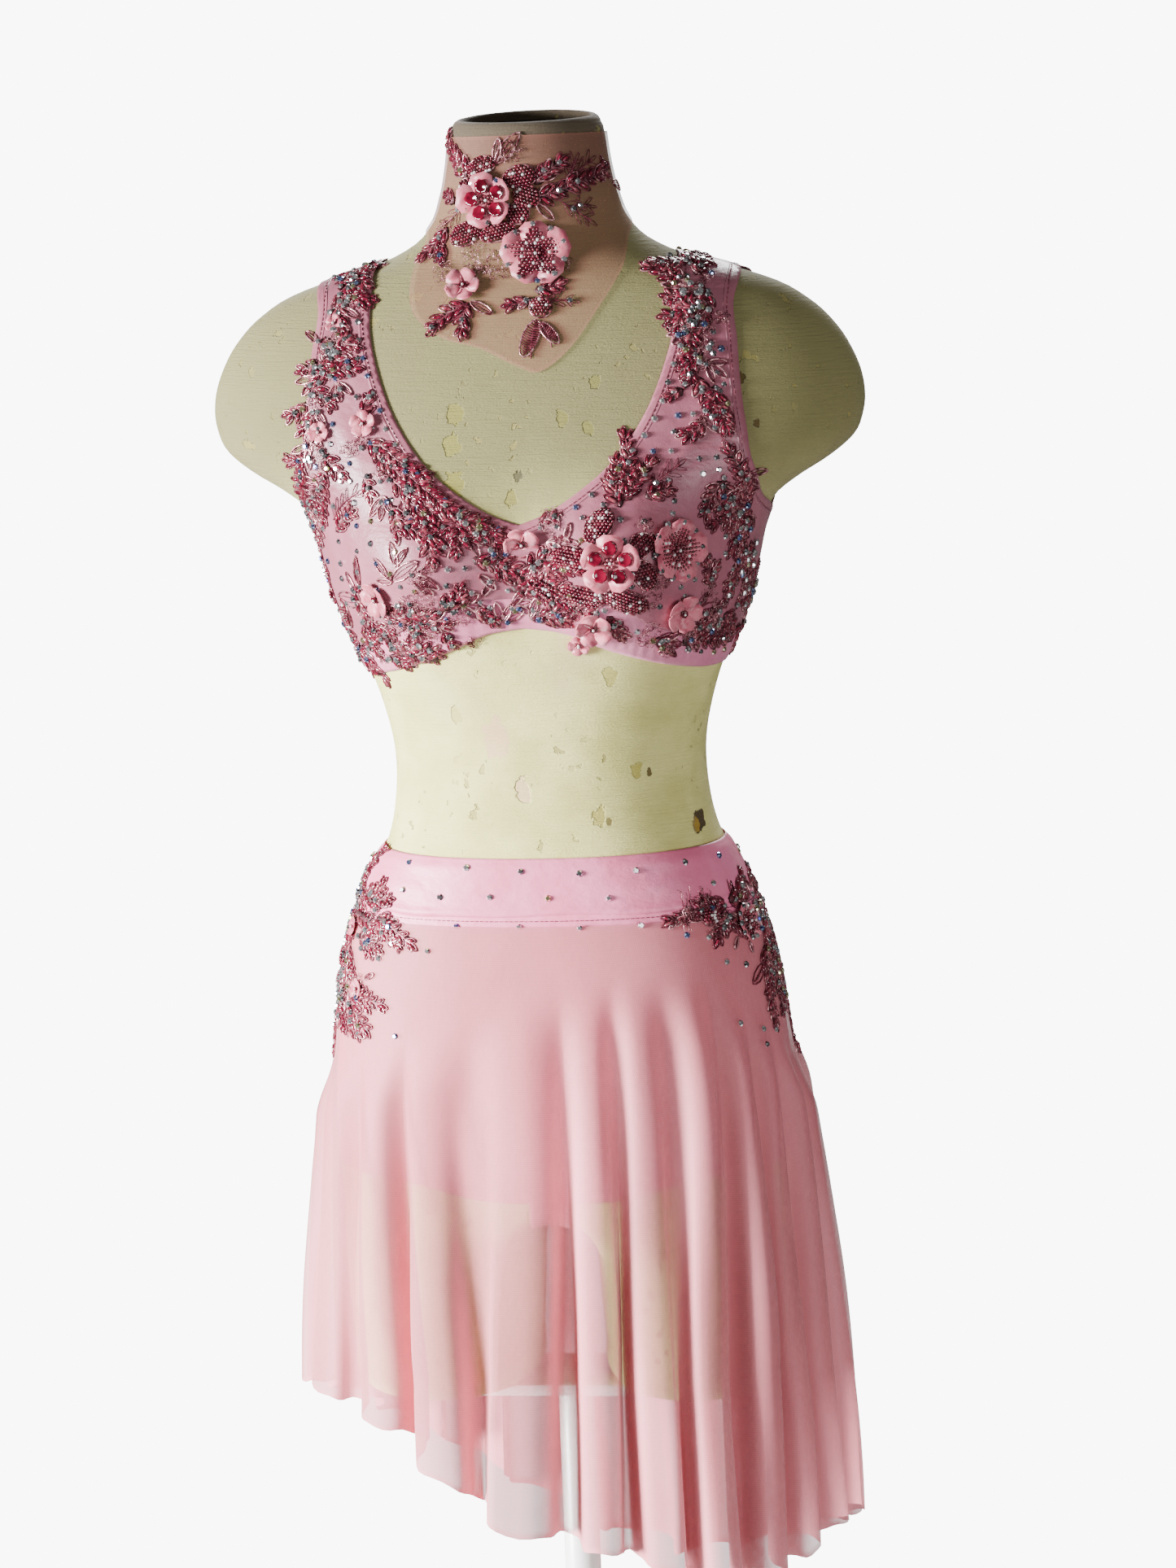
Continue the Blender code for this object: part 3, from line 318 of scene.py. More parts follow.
def oval(turn, half, front, back, power):
    """x and y of an oval with its own depth in front and behind, at turns in radians."""
    side, ahead = np.sin(turn), np.cos(turn)
    x = half * np.sign(side) * np.abs(side) ** (2 / power)
    y = np.where(ahead > 0, front, back) * -np.sign(ahead) * np.abs(ahead) ** (2 / power)
    return x, y


def form_level(points):
    """Below 0 inside the form's trunk and above 0 outside it."""
    x, y, z = points[..., 0], points[..., 1], points[..., 2]
    half, front, back, power = read_rows(FORM_ROWS, z)
    forward = np.where(y < 0, y + bust(x, z) * np.clip(-y / BUST_BLEND, 0, 1), y)
    depth = np.where(y < 0, front, back)
    return (np.abs(x) / half) ** power + (np.abs(forward) / depth) ** power - 1


def form_normal(points, reach=0.0015):
    """The outward direction of the form's trunk at points near it."""
    slope = np.empty_like(points)
    for axis in range(3):
        step = np.zeros(3)
        step[axis] = reach
        slope[..., axis] = form_level(points + step) - form_level(points - step)
    return slope / np.linalg.norm(slope, axis=-1, keepdims=True)


def section_point(turn, z):
    """Points of the form at turns from centre front in radians and heights."""
    x, y = oval(turn, *read_rows(FORM_ROWS, z))
    y = y - bust(x, z) * np.clip(-y / BUST_BLEND, 0, 1)
    return np.stack([x, y, np.broadcast_to(z, x.shape)], -1)


def seen_points(places, side=-1):
    """Points of the form's front (side -1) or back (side 1) for places (x, z) as seen from the front."""
    places = np.array(places, float)
    x, z = places[:, 0], places[:, 1]
    half, front, back, power = read_rows(FORM_ROWS, z)
    across = np.clip(1 - (np.abs(x) / half) ** power, 0, 1) ** (1 / power)
    y = back * across if side > 0 else -(front * across + bust(x, z))
    return np.stack([x, y, z], -1)


def near_place(look, place, radius, softness):
    """A socket that is 1 within a ragged upright mark on a piece and 0 beyond it."""
    tall = (1, 1, MARK_TALLNESS)
    squat = look.node("ShaderNodeVectorMath", "Vector", {0: look.here(), 1: tall}, operation="MULTIPLY")
    middle = Vector(place) * Vector(tall)
    away = look.node("ShaderNodeVectorMath", "Value", {0: squat, 1: middle}, operation="DISTANCE")
    rough = look.times(look.noise(0.9 / radius, detail=4.0), radius * 2.2)
    reach = radius * 2.05
    return look.step(look.calc("ADD", away, rough), reach + softness, reach)


# Marks on the canvas: x, z, radius, softness, colour, share. Most are stains and chips; the near-black ones
# are painted shade inside the pits.
CANVAS_STAINS_AND_PIT_SHADE = from_mm((0, 1, 2, 3), (
    (104, 779, 6.2, 1.2, (0.045, 0.02, 0.004), 0.96),
    (102.2, 776.5, 3.2, 1.2, (0.42, 0.26, 0.03), 0.85), (67, 819, 3.6, 1, (0.46, 0.4, 0.075), 0.85),
    (74.5, 817, 1.6, 0.6, (0.1, 0.06, 0.01), 0.9), (42, 790, 4.2, 1, (0.46, 0.39, 0.08), 0.8),
    (48, 786, 1.7, 0.6, (0.14, 0.09, 0.015), 0.8), (-24, 845, 9.5, 1.2, (0.8, 0.42, 0.3), 0.5),
    (-8, 809, 5.2, 1.2, (0.8, 0.44, 0.32), 0.5), (54, 885, 4.6, 0.8, (0.5, 0.45, 0.1), 0.75),
    (-52, 860, 4, 0.8, (0.5, 0.45, 0.11), 0.65), (-43, 1060, 5.2, 0.8, (0.28, 0.26, 0.048), 0.75),
    (-44, 1040, 6.2, 0.8, (0.29, 0.27, 0.048), 0.75), (-42, 1017, 5.8, 0.8, (0.3, 0.27, 0.045), 0.75),
    (-5, 1006, 4, 0.8, (0.28, 0.25, 0.045), 0.7), (29, 1056, 3.8, 0.8, (0.26, 0.24, 0.05), 0.7),
    (46, 1050, 3.4, 0.8, (0.26, 0.24, 0.05), 0.7), (50, 1079, 3.4, 0.8, (0.26, 0.24, 0.05), 0.65),
    (0, 1020, 2.4, 0.8, (0.1, 0.09, 0.04), 0.85), (144, 1078, 2.6, 0.6, (0.1, 0.06, 0.01), 0.9),
    (154, 1048, 1.8, 0.6, (0.1, 0.06, 0.01), 0.9), (-140, 1015, 2.4, 0.6, (0.36, 0.22, 0.02), 0.9),
))
MARK_TALLNESS = 0.72
LARGEST_PIT, PIT_DEPTH, CHIP_DEPTH = 0.009, 0.0009, 0.0010
# Darker bands: colour, height where it begins, height where it is full, share. The first is painted shade
# over the chest and shoulders, over a little dirt; the second darkens the canvas towards the top of the
# neck.
CANVAS_SHADE_AND_DIRT = (((0.21, 0.19, 0.078), 0.92, 1.06, 0.92), ((0.11, 0.08, 0.052), 1.19, 1.256, 0.95))


def canvas():
    """Cream canvas with an open grain, chipped and marked with age, darker towards the top of the neck,
    with painted shade over the chest and inside its pits.
    """
    look = Look("cream_canvas", (0.66, 0.63, 0.22), 0.85, Sheen_Weight=0.10)
    mottled = look.step(look.noise(30.0, detail=7.0), 0.30, 0.70)
    colour = look.blend((0.60, 0.565, 0.18), (0.74, 0.70, 0.26), mottled)
    cloudy = look.step(look.noise(9.0, (1, 1, 0.6), 4.0), 0.54, 0.74, 0.45)
    colour = look.blend(colour, (0.60, 0.44, 0.28), cloudy)
    height = look.node("ShaderNodeSeparateXYZ", "Z", {"Vector": look.here()})
    height = look.calc("ADD", look.times(look.noise(40.0, (1, 1, 0.5), 4.0), 0.030), height)
    # Painted shade over the chest and shoulders, and the darker top of the neck
    for shade_and_dirt, low, high, most in CANVAS_SHADE_AND_DIRT:
        colour = look.blend(colour, shade_and_dirt, look.step(height, low, high, most))
    uneven = look.step(look.noise(17.0, detail=1.0), 0.46, 0.60)
    chips = look.times(look.step(look.noise(105.0), 0.640, 0.660), uneven)
    colour = look.blend(colour, (0.34, 0.29, 0.085), look.times(chips, 0.75))
    hollow = look.times(chips, -CHIP_DEPTH)
    # Stains and chips, and painted shade inside the pits where a mark is near black
    for x, z, radius, softness, tint, share in CANVAS_STAINS_AND_PIT_SHADE:
        mark = near_place(look, tuple(seen_points([(x, z)])[0]), radius, softness)
        colour = look.blend(colour, tint, look.times(mark, share))
        if radius < LARGEST_PIT:
            hollow = look.calc("ADD", hollow, look.times(mark, -PIT_DEPTH))
    look.show("Base Color", colour)
    grain = look.times(look.noise(620.0, (1, 1, 2.4)), 0.00040)
    slubs = look.times(look.noise(90.0, (0.5, 0.5, 9.0)), 0.00075)
    look.bump(look.calc("ADD", grain, slubs, hollow))
    return look


def leaning(ring):
    """A ring of the neck, lowered towards the front."""
    lean = np.clip((ring[:, 2] - NECK_LEAN_Z) / (NECK_TOP - NECK_LEAN_Z), 0, 1)
    forward = np.clip(0.58 - ring[:, 1] / 0.10, 0, 1)
    return ring - np.outer(lean * forward * NECK_LEAN, (0, 0, 1))


def build_form():
    around = 128
    heights = np.concatenate([np.linspace(0.5285, 0.90, 60), np.linspace(0.905, 1.246, 86)])
    turns = np.linspace(-math.pi, math.pi, around, endpoint=False)
    points = [point for z in heights for point in leaning(section_point(turns, np.full(around, z)))]
    faces = []

    def band(lower, upper):
        for k in range(len(lower)):
            after = (k + 1) % len(lower)
            faces.append((lower[k], lower[after], upper[after], upper[k]))

    for row in range(len(heights) - 1):
        band(range(row * around, (row + 1) * around), range((row + 1) * around, (row + 2) * around))
    last = range((len(heights) - 1) * around, len(heights) * around)
    rim = section_point(turns, np.full(around, NECK_TOP))
    middle = rim.mean(axis=0)
    for shrink, drop in NECK_RIM:
        ring = middle + (rim - middle) * shrink
        ring[:, 2] = NECK_TOP - drop
        start = len(points)
        points.extend(leaning(ring))
        band(last, range(start, start + around))
        last = range(start, start + around)
    faces.append(tuple(last))
    dish = set(faces[-2 * around - 1:])

    half = around // 2
    shares = np.linspace(0, 1, 25)[1:-1]
    deep_front, deep_back = points[half][1], points[0][1]
    depths = deep_front + shares * (deep_back - deep_front)
    bridge = []
    for share, y in zip(shares, depths):
        points.append((0.0, y, CROTCH_Z + CROTCH_CURVE * (2 * share - 1) ** 4))
        bridge.append(len(points) - 1)
    inset = math.asin((INNER_THIGH_X / FORM_ROWS[0][1]) ** (FORM_ROWS[0][4] / 2))
    spread = np.concatenate([
        np.linspace(-0.74 * math.pi, 0.74 * math.pi, half + 1),
        np.linspace(0.79 * math.pi, 1.21 * math.pi, len(bridge)),
    ])
    for side in (-1, 1):
        upper = [(half + side * k) % around for k in range(half + 1)] + bridge[::-1]
        turns = side * np.linspace(inset, math.pi - inset, half + 1)
        outer = section_point(turns, np.full(half + 1, THIGH_TOP))
        inner = [(side * INNER_THIGH_X, y, THIGH_TOP - 0.003) for y in depths[::-1]]
        square = np.concatenate([outer, inner])
        for z in (*np.linspace(THIGH_TOP, 0.391, 26), 0.3875, 0.3855, THIGH_BOTTOM):
            wide, deep, share = [float(v) for v in read_rows(THIGH_ROWS, z)]
            share = min(max(share, 0.0), 1.0)
            x = side * (THIGH_X + wide * np.cos(spread))
            ring = np.stack([x, THIGH_Y + deep * np.sin(spread), np.full(len(spread), z)], -1)
            ring = square * (1 - share) + ring * share
            if share > 0:
                ring[:, 2] = z
            lower = range(len(points), len(points) + len(ring))
            points.extend(ring)
            band(upper, lower)
            upper = lower
        faces.append(tuple(upper))
    # The dish inside the neck's rim is coloured near black, far darker than the canvas
    dish_look = Look("dark_dish_look", (0.035, 0.022, 0.014), 0.8)
    dish_look.bump(dish_look.noise(220.0), 0.3, 0.001)
    made = new_piece("torso", points, faces, [canvas(), dish_look], [int(face in dish) for face in faces])
    shaped = bmesh.new()
    shaped.from_mesh(made.data)
    bmesh.ops.recalc_face_normals(shaped, faces=shaped.faces)
    shaped.to_mesh(made.data)
    shaped.free()
    made.data.set_sharp_from_angle(angle=math.radians(60))
    shows("dress_form")


build_form()

# Briefs
# Opaque stretch satin under the skirt, cut in a front and a back that meet at the sides and in a
# narrow strip under the crotch. The leg openings have a turned and topstitched elastic edge.
WAIST_LOW = 0.7140
# Turn from centre front or centre back in degrees, height of the leg edge
LEG_EDGE_ROWS = from_mm((1,), ((0, 528), (12, 529), (32, 539), (60, 543), (90, 546)))
GUSSET_HALF, GUSSET_RISE = 0.0140, 0.0030
SIDE_SEAM_TURN = 0.0008
BRIEFS_LIFT = 0.0018
# Thickness of the satin
SATIN_THICKNESS = 0.0006
LEG_BAND = 0.0080
# Relief of a turned edge: where it starts and ends, from the width of the edge, and how much it rises
TURNED_RELIEF = ((0.0008, 0.0, 0.0006), (-0.0026, -0.0016, -0.00035), (-0.0012, -0.0004, 0.00035))


def lift_off(points, lift):
    """Points of the form moved outwards."""
    return points + form_normal(points) * np.asarray(lift)[..., None]


def unwound(turn):
    """Turns in radians as degrees between -180 and 180."""
    return (np.degrees(turn) + 180) % 360 - 180


def smooth_path(points, count):
    """A smooth curve through points, read at evenly spread places."""
    points = np.asarray(points, float)
    length = lengths(points)
    rows = np.column_stack([length, points])
    return np.stack(read_rows(rows, np.linspace(0, length[-1], count)), -1)


def outwards(points, faces):
    """The faces, turned so that they point away from the form's middle line."""
    points = np.asarray(points, float)
    corner = points[np.array([face[:3] for face in faces])]
    normal = np.cross(corner[:, 1] - corner[:, 0], corner[:, 2] - corner[:, 0])
    away = corner.mean(axis=1)
    away[:, 2] = 0
    if (normal * away).sum() < 0:
        return [tuple(reversed(face)) for face in faces]
    return [tuple(face) for face in faces]


def grid_faces(across, down):
    """Quads between the points of a grid that is listed column by column."""
    return [
        (k * down + j, (k + 1) * down + j, (k + 1) * down + j + 1, k * down + j + 1)
        for k in range(across - 1)
        for j in range(down - 1)
    ]


def give_values(made, name, values):
    """A number for each point of a piece, which its material reads."""
    given = made.data.attributes.new(name, "FLOAT", "POINT")
    given.data.foreach_set("value", np.asarray(values, np.float32))


def give_map(made, places):
    """A cloth's own flat map in metres, from each point's place across and along it."""
    places = np.asarray(places, np.float32)
    corners = np.empty(len(made.data.loops), np.int32)
    made.data.loops.foreach_get("vertex_index", corners)
    made.data.uv_layers.new(name="cloth").data.foreach_set("uv", places[corners].ravel())


def thicken(made, thickness):
    """Gives an outer face its wall, inwards."""
    wall = made.modifiers.new("wall", "SOLIDIFY")
    wall.offset = -1.0
    wall.thickness = thickness
    wall.use_even_offset = False


def new_cloth(name, points, faces, look):
    """A piece of cloth that faces away from the form."""
    return new_piece(name, points, outwards(points, faces), [look])


def halves(count):
    """The front and the back half of a piece and their turns, a little short of the side seams."""
    reach = math.pi / 2 - SIDE_SEAM_TURN
    for ending, middle in (("front", 0.0), ("back", math.pi)):
        yield ending, middle + np.linspace(-reach, reach, count)


def satin(name, colour, light, roughness, edge_width=0.0):
    """Stretch satin with a soft sheen, a fine grain and, at some distance from the edge, a turned edge."""
    look = Look(name, colour, roughness, Specular_IOR_Level=0.45, Sheen_Weight=0.12, Sheen_Roughness=0.4)
    look.mottle(colour, light, 0.32, 0.70, 34.0, (1, 1, 0.6), 5.0)
    relief = [
        look.times(look.noise(1500.0, (1, 1, 0.35), 2.0), 0.00010),
        look.times(look.noise(95.0, (1, 1, 1.8)), 0.00070),
    ]
    if edge_width:
        edge = look.value("from_edge")
        for start, end, rise in TURNED_RELIEF:
            relief.append(look.times(look.step(edge, edge_width + start, edge_width + end), rise))
    look.bump(look.calc("ADD", *relief))
    return look


def is_cut(made, node, wall=0.0):
    """Gives a cloth piece its wall, where a thickness is given, and shows it in place of its node."""
    if wall:
        thicken(made, wall)
    shows(node)


def build_briefs():
    look = satin("briefs_satin", (0.78, 0.18, 0.25), (0.84, 0.23, 0.31), 0.50, LEG_BAND)
    shares = np.concatenate([np.linspace(0, 0.05, 6), np.linspace(0.07, 1, 34)])
    down = len(shares)
    top = WAIST_LOW + 0.006
    for ending, sign, middle in (("front", -1, 0.0), ("back", 1, math.pi)):
        reach = math.pi / 2 - SIDE_SEAM_TURN
        depth = abs(float(section_point(np.array([middle]), np.array([CROTCH_Z + 0.01]))[0, 1]))
        wide = np.linspace(-1, 1, 11) * GUSSET_HALF / FORM_ROWS[0][1]
        strip = np.sign(wide) * np.arcsin(np.abs(wide) ** (FORM_ROWS[0][4] / 2))
        side = np.linspace(-reach, strip[0] * 1.1, 44)
        turns = middle + np.concatenate([side, strip, -side[::-1]])
        away = np.abs(unwound(turns))
        edge = read_rows(LEG_EDGE_ROWS, np.minimum(away, 180 - away))[0]
        heights = edge[:, None] + shares * (top - edge[:, None])
        columns = np.broadcast_to(turns[:, None], heights.shape)
        from_edge = (heights - edge[:, None]).ravel()
        in_strip = np.abs(np.sin(columns.ravel() - middle)) < abs(math.sin(strip[0])) * 1.3
        points = section_point(columns.ravel(), heights.ravel())
        points = list(lift_off(points, np.full(len(points), BRIEFS_LIFT)))
        from_edge = list(np.where(in_strip, 0.03, from_edge))
        faces = grid_faces(len(turns), down)
        above = [(len(side) + k) * down for k in range(len(strip))]
        path = smooth_path((
            (depth + BRIEFS_LIFT - 0.0004, -0.0100),
            (depth + 0.0012, -0.0030),
            (depth - 0.0020, 0.0032),
            (depth - 0.0100, 0.0058),
            (depth * 0.50, 0.0066),
            (0.0002, 0.0070),
        ), 18)
        for distance, drop in path[1:]:
            below = []
            for place in above:
                x = points[place][0]
                arch = GUSSET_RISE * (x / GUSSET_HALF) ** 2
                points.append(np.array([x, sign * distance, CROTCH_Z - drop - arch]))
                from_edge.append(0.03)
                below.append(len(points) - 1)
            for k in range(len(strip) - 1):
                faces.append((below[k], below[k + 1], above[k + 1], above[k]))
            above = below
        made = new_cloth("satin_briefs_" + ending, points, faces, look)
        give_values(made, "from_edge", from_edge)
        is_cut(made, "briefs_" + ending, wall=SATIN_THICKNESS)


build_briefs()

# Cropped top
# Pearly stretch satin in a front and a back, each cut in one with its two straps. Neckline and
# armholes are turned in and topstitched, and the front is gathered at its middle.
CHEST_CENTRE = (0.0, 0.0, 1.000)
SHOULDER_INNER_X, SHOULDER_OUTER_X = 0.097, 0.139
SIDE_TOP_Z = 0.988
SEAM_GAP = 0.0004
UNDERBUST_GAP = 0.0008
# Edges: (x, z) as seen from the front, from the top down
NECKLINE_LEFT = (
    (-0.102, 1.14), (-0.1015, 1.116), (-0.095, 1.088), (-0.083, 1.058), (-0.064, 1.03), (-0.04, 1.009),
    (-0.015, 0.994),
)
NECKLINE_NOTCH = (0.0, 0.9885)
ARMHOLE_LEFT = (
    (-0.139, 1.128), (-0.142, 1.1), (-0.144, 1.075), (-0.147, 1.05), (-0.15, 1.025), (-0.153, 1.007),
)
BACK_NECKLINE_LEFT = ((-0.104, 1.13), (-0.102, 1.095), (-0.088, 1.056), (-0.055, 1.03))
BACK_NECKLINE_LOW = (0.0, 1.0220)
BACK_ARMHOLE_LEFT = ((-0.142, 1.122), (-0.142, 1.085), (-0.144, 1.05), (-0.15, 1.012))
# Lower edges: turn from centre front in degrees, height of the hem, height of the seam above its band
HEM_ROWS = from_mm((1, 2), (
    (0, 920, 940.5), (9, 916.5, 940), (20, 906, 936), (37, 894.5, 918), (60, 886.5, 906),
    (90, 885, 903), (180, 887, 905),
))
TOP_LIFT = 0.0023
TURNED_EDGE = 0.0068
# Soft creases of the front, from the middle outwards: x and z of both ends, half width, height
FRONT_CREASES = from_mm((0, 1, 2, 3, 4, 5), (
    (-6, 982, -48, 998, 4, 0.9), (-8, 974, -62, 978, 5, 1.1), (-8, 964, -70, 955, 4.5, 0.9),
    (-8, 954, -56, 934, 5, 1), (-12, 947, -40, 926, 3.5, 0.7), (6, 980, 42, 994, 4.5, 1),
    (8, 970, 58, 972, 5, 1), (8, 960, 68, 948, 5, 0.9), (10, 950, 52, 930, 4, 1),
    (-102, 1020, -124, 1062, 4.5, 0.8), (-86, 1012, -108, 1046, 3.5, 0.6),
    (106, 1024, 126, 1070, 4.5, 0.8), (92, 1010, 112, 1044, 3.5, 0.6), (-130, 935, -90, 915, 5, 0.8),
    (132, 938, 94, 914, 5, 0.9), (-138, 975, -110, 985, 5, 0.7), (140, 980, 114, 990, 5.5, 0.7),
))
BACK_CREASES = from_mm((0, 1, 2, 3, 4, 5), (
    (-90, 1030, -112, 1085, 4.5, 0.8), (92, 1028, 110, 1080, 4.5, 0.7), (-130, 960, -70, 985, 6, 0.9),
    (128, 955, 60, 978, 6, 0.9), (-120, 925, -40, 932, 5.5, 0.7), (116, 920, 30, 930, 5.5, 0.8),
))
GATHER_PITCH, GATHER_HEIGHT, GATHER_REACH = 0.0078, 0.0010, 0.020
HEM_PUFF, EDGE_ROUND = 0.0010, 0.0011
TOP_SPACING = 0.0165


def chest_point(turn, rise):
    """Where a ray from the centre of the chest leaves the form."""
    ahead = np.stack([np.sin(turn) * np.cos(rise), -np.cos(turn) * np.cos(rise), np.sin(rise)], -1)
    inside = np.full(turn.shape, 0.03)
    outside = np.full(turn.shape, 0.26)
    centre = np.array(CHEST_CENTRE)
    for _ in range(24):
        middle = (inside + outside) / 2
        within = form_level(centre + ahead * middle[..., None]) < 0
        inside = np.where(within, middle, inside)
        outside = np.where(within, outside, middle)
    return centre + ahead * inside[..., None]


def chest_places(points):
    """Points in the chest's flat map, where a turn is shortened by its rise."""
    away = np.asarray(points, float) - np.array(CHEST_CENTRE)
    turn = np.arctan2(away[..., 0], -away[..., 1])
    rise = np.arctan2(away[..., 2], np.hypot(away[..., 0], away[..., 1]))
    return np.stack([turn * np.cos(rise), rise], -1)


def shoulder_point(x, y):
    """The top of the shoulder at x, a little in front of its seam or behind it."""
    heights = np.linspace(1.10, 1.19, 400)
    half, _, _, _ = read_rows(FORM_ROWS, heights)
    return np.array([x, y, heights[np.argmin(np.abs(half - abs(x)))]])


def side_point(z, y):
    """A point beside the left side seam at a height."""
    return np.array([-float(read_rows(FORM_ROWS, z)[0]), y, z])


def hem_height(turn, column=0):
    """Height of the top's lower edge (column 0), or of the seam above its band (column 1)."""
    return read_rows(HEM_ROWS, np.abs(unwound(turn)))[column]


def distance_to_line(points, line):
    """Distance of each point from the nearest stretch of a line of points."""
    least = np.full(len(points), np.inf)
    for origin, end in zip(line[:-1], line[1:]):
        run = end - origin
        share = np.clip(((points - origin) @ run) / max(run @ run, 1e-12), 0, 1)
        least = np.minimum(least, np.linalg.norm(points - origin - share[:, None] * run, axis=1))
    return least


def inside_loop(places, loop):
    """Whether each flat place lies within a closed outline."""
    within = np.zeros(len(places), bool)
    for (x0, y0), (x1, y1) in zip(loop, np.roll(loop, -1, axis=0)):
        crosses = (y0 > places[:, 1]) != (y1 > places[:, 1])
        if y0 != y1:
            within ^= crosses & (places[:, 0] < x0 + (places[:, 1] - y0) * (x1 - x0) / (y1 - y0))
    return within


def filled(loop, spacing):
    """Evenly spread triangles over a flat outline: their places and faces."""
    low, high = loop.min(axis=0), loop.max(axis=0)
    rows = np.arange(low[1], high[1], spacing * 0.866)
    inner = np.array([
        (x, y)
        for number, y in enumerate(rows)
        for x in np.arange(low[0] + (number % 2) * spacing / 2, high[0], spacing)
    ])
    closed = np.concatenate([loop, loop[:1]])
    inner = inner[inside_loop(inner, loop)]
    inner = inner[distance_to_line(inner, closed) > 0.45 * spacing]
    edges = [(k, (k + 1) % len(loop)) for k in range(len(loop))]
    flat = [Vector(place) for place in np.concatenate([loop, inner])]
    found, _, faces, _, _, _ = delaunay_2d_cdt(flat, edges, [], 1, 1e-7)
    return np.array([tuple(place) for place in found]), faces


def ridge(aside, width, trough, reach):
    """A soft ridge with a trough along each side, from each point's distance to its crest."""
    return bell(aside, width) - trough * bell(aside / width, reach)


def creased(points, creases):
    """How far soft creases raise points: each crease fades towards its far end and its sides."""
    seen = points[:, (0, 2)]
    raised = np.zeros(len(points))
    for x0, z0, x1, z1, width, height in creases:
        start = np.array((x0, z0))
        run = np.array((x1, z1)) - start
        share = ((seen - start) @ run) / (run @ run)
        aside = np.abs((seen - start) @ np.array((-run[1], run[0]))) / np.linalg.norm(run)
        ends = np.clip(1.15 - np.abs(2 * share - 1) ** 3, 0, 1) * (np.abs(share - 0.5) < 0.6)
        spread = width * (0.6 + 0.8 * np.clip(share, 0, 1))
        raised += height * ends * ridge(aside, spread, 0.35, 1.9)
    return raised


def build_top():
    # The top's satin is coloured much darker than the waistband's: painted shade over the chest and straps
    look = satin("pearly_satin_in_painted_shade", (0.33, 0.10, 0.14), (0.40, 0.135, 0.185), 0.38, TURNED_EDGE)
    made = {}
    for name, side, neckline, low, armhole, creases in (
        ("top_front", -1, NECKLINE_LEFT, NECKLINE_NOTCH, ARMHOLE_LEFT, FRONT_CREASES),
        ("top_back", 1, BACK_NECKLINE_LEFT, BACK_NECKLINE_LOW, BACK_ARMHOLE_LEFT, BACK_CREASES),
    ):
        seam = side * SEAM_GAP / 2
        neck = smooth_path(np.concatenate([
            [shoulder_point(-SHOULDER_INNER_X, seam)],
            seen_points(neckline, side),
            seen_points([low], side),
        ]), 90)
        arm = smooth_path(np.concatenate([
            [side_point(SIDE_TOP_Z, seam)],
            seen_points(armhole[::-1], side),
            [shoulder_point(-SHOULDER_OUTER_X, seam)],
        ]), 60)
        reach = math.pi / 2 - SIDE_SEAM_TURN
        turns = np.linspace(-reach, reach, 181)
        if side > 0:
            turns = math.pi - turns
        hem = section_point(turns, hem_height(turns, 1) + UNDERBUST_GAP)
        sides = np.array([side_point(z, seam) for z in np.linspace(hem[0, 2], SIDE_TOP_Z, 30)[1:-1]])
        across = np.linspace(SHOULDER_OUTER_X, SHOULDER_INNER_X, 14)[1:-1]
        shoulder = np.array([shoulder_point(-x, seam) for x in across])
        left = np.concatenate([sides, arm, shoulder, neck])
        edge = np.concatenate([hem, left * (-1, 1, 1), left[:-1][::-1]])
        loop = chest_places(edge * (1, -side, 1))
        places, faces = filled(loop, TOP_SPACING)
        rise = places[:, 1]
        turn = places[:, 0] / np.cos(rise)
        points = chest_point(turn if side < 0 else math.pi - turn, rise)
        neck_line = np.concatenate([neck, (neck * (-1, 1, 1))[::-1]])
        from_edge = distance_to_line(points, neck_line)
        for line in (arm, arm * (-1, 1, 1)):
            from_edge = np.minimum(from_edge, distance_to_line(points, line))
        raised = creased(points, creases)
        if side < 0:
            fade = np.clip((from_edge - 0.004) / 0.010, 0, 1)
            pleat = np.cos(2 * math.pi * (points[:, 2] - 0.94 - 0.12 * np.abs(points[:, 0])) / GATHER_PITCH)
            raised += GATHER_HEIGHT * pleat * np.exp(-(points[:, 0] / GATHER_REACH) ** 2) * fade
        above_hem = points[:, 2] - hem_height(np.arctan2(points[:, 0], -points[:, 1]), 1)
        raised += HEM_PUFF * bell(above_hem - 0.0045, 0.0022)
        raised = raised - EDGE_ROUND * np.exp(-((from_edge / 0.0035) ** 2))
        cloth = new_cloth("satin_" + name, lift_off(points, TOP_LIFT + raised), faces, look)
        give_values(cloth, "from_edge", from_edge)
        is_cut(cloth, name, wall=SATIN_THICKNESS)
        made[name] = (neck_line, arm)
    return made


TOP_EDGES = build_top()

# Underband
# A narrow band of elastic covered in satin, sewn under the bust in a front and a back half.
# It rises to a low arch at centre front.
BAND_LIFT, BAND_TUCK = 0.0026, 0.0030
BAND_PUFF, BAND_RIPPLE, BAND_DIP = 0.0011, 0.00022, 0.0010


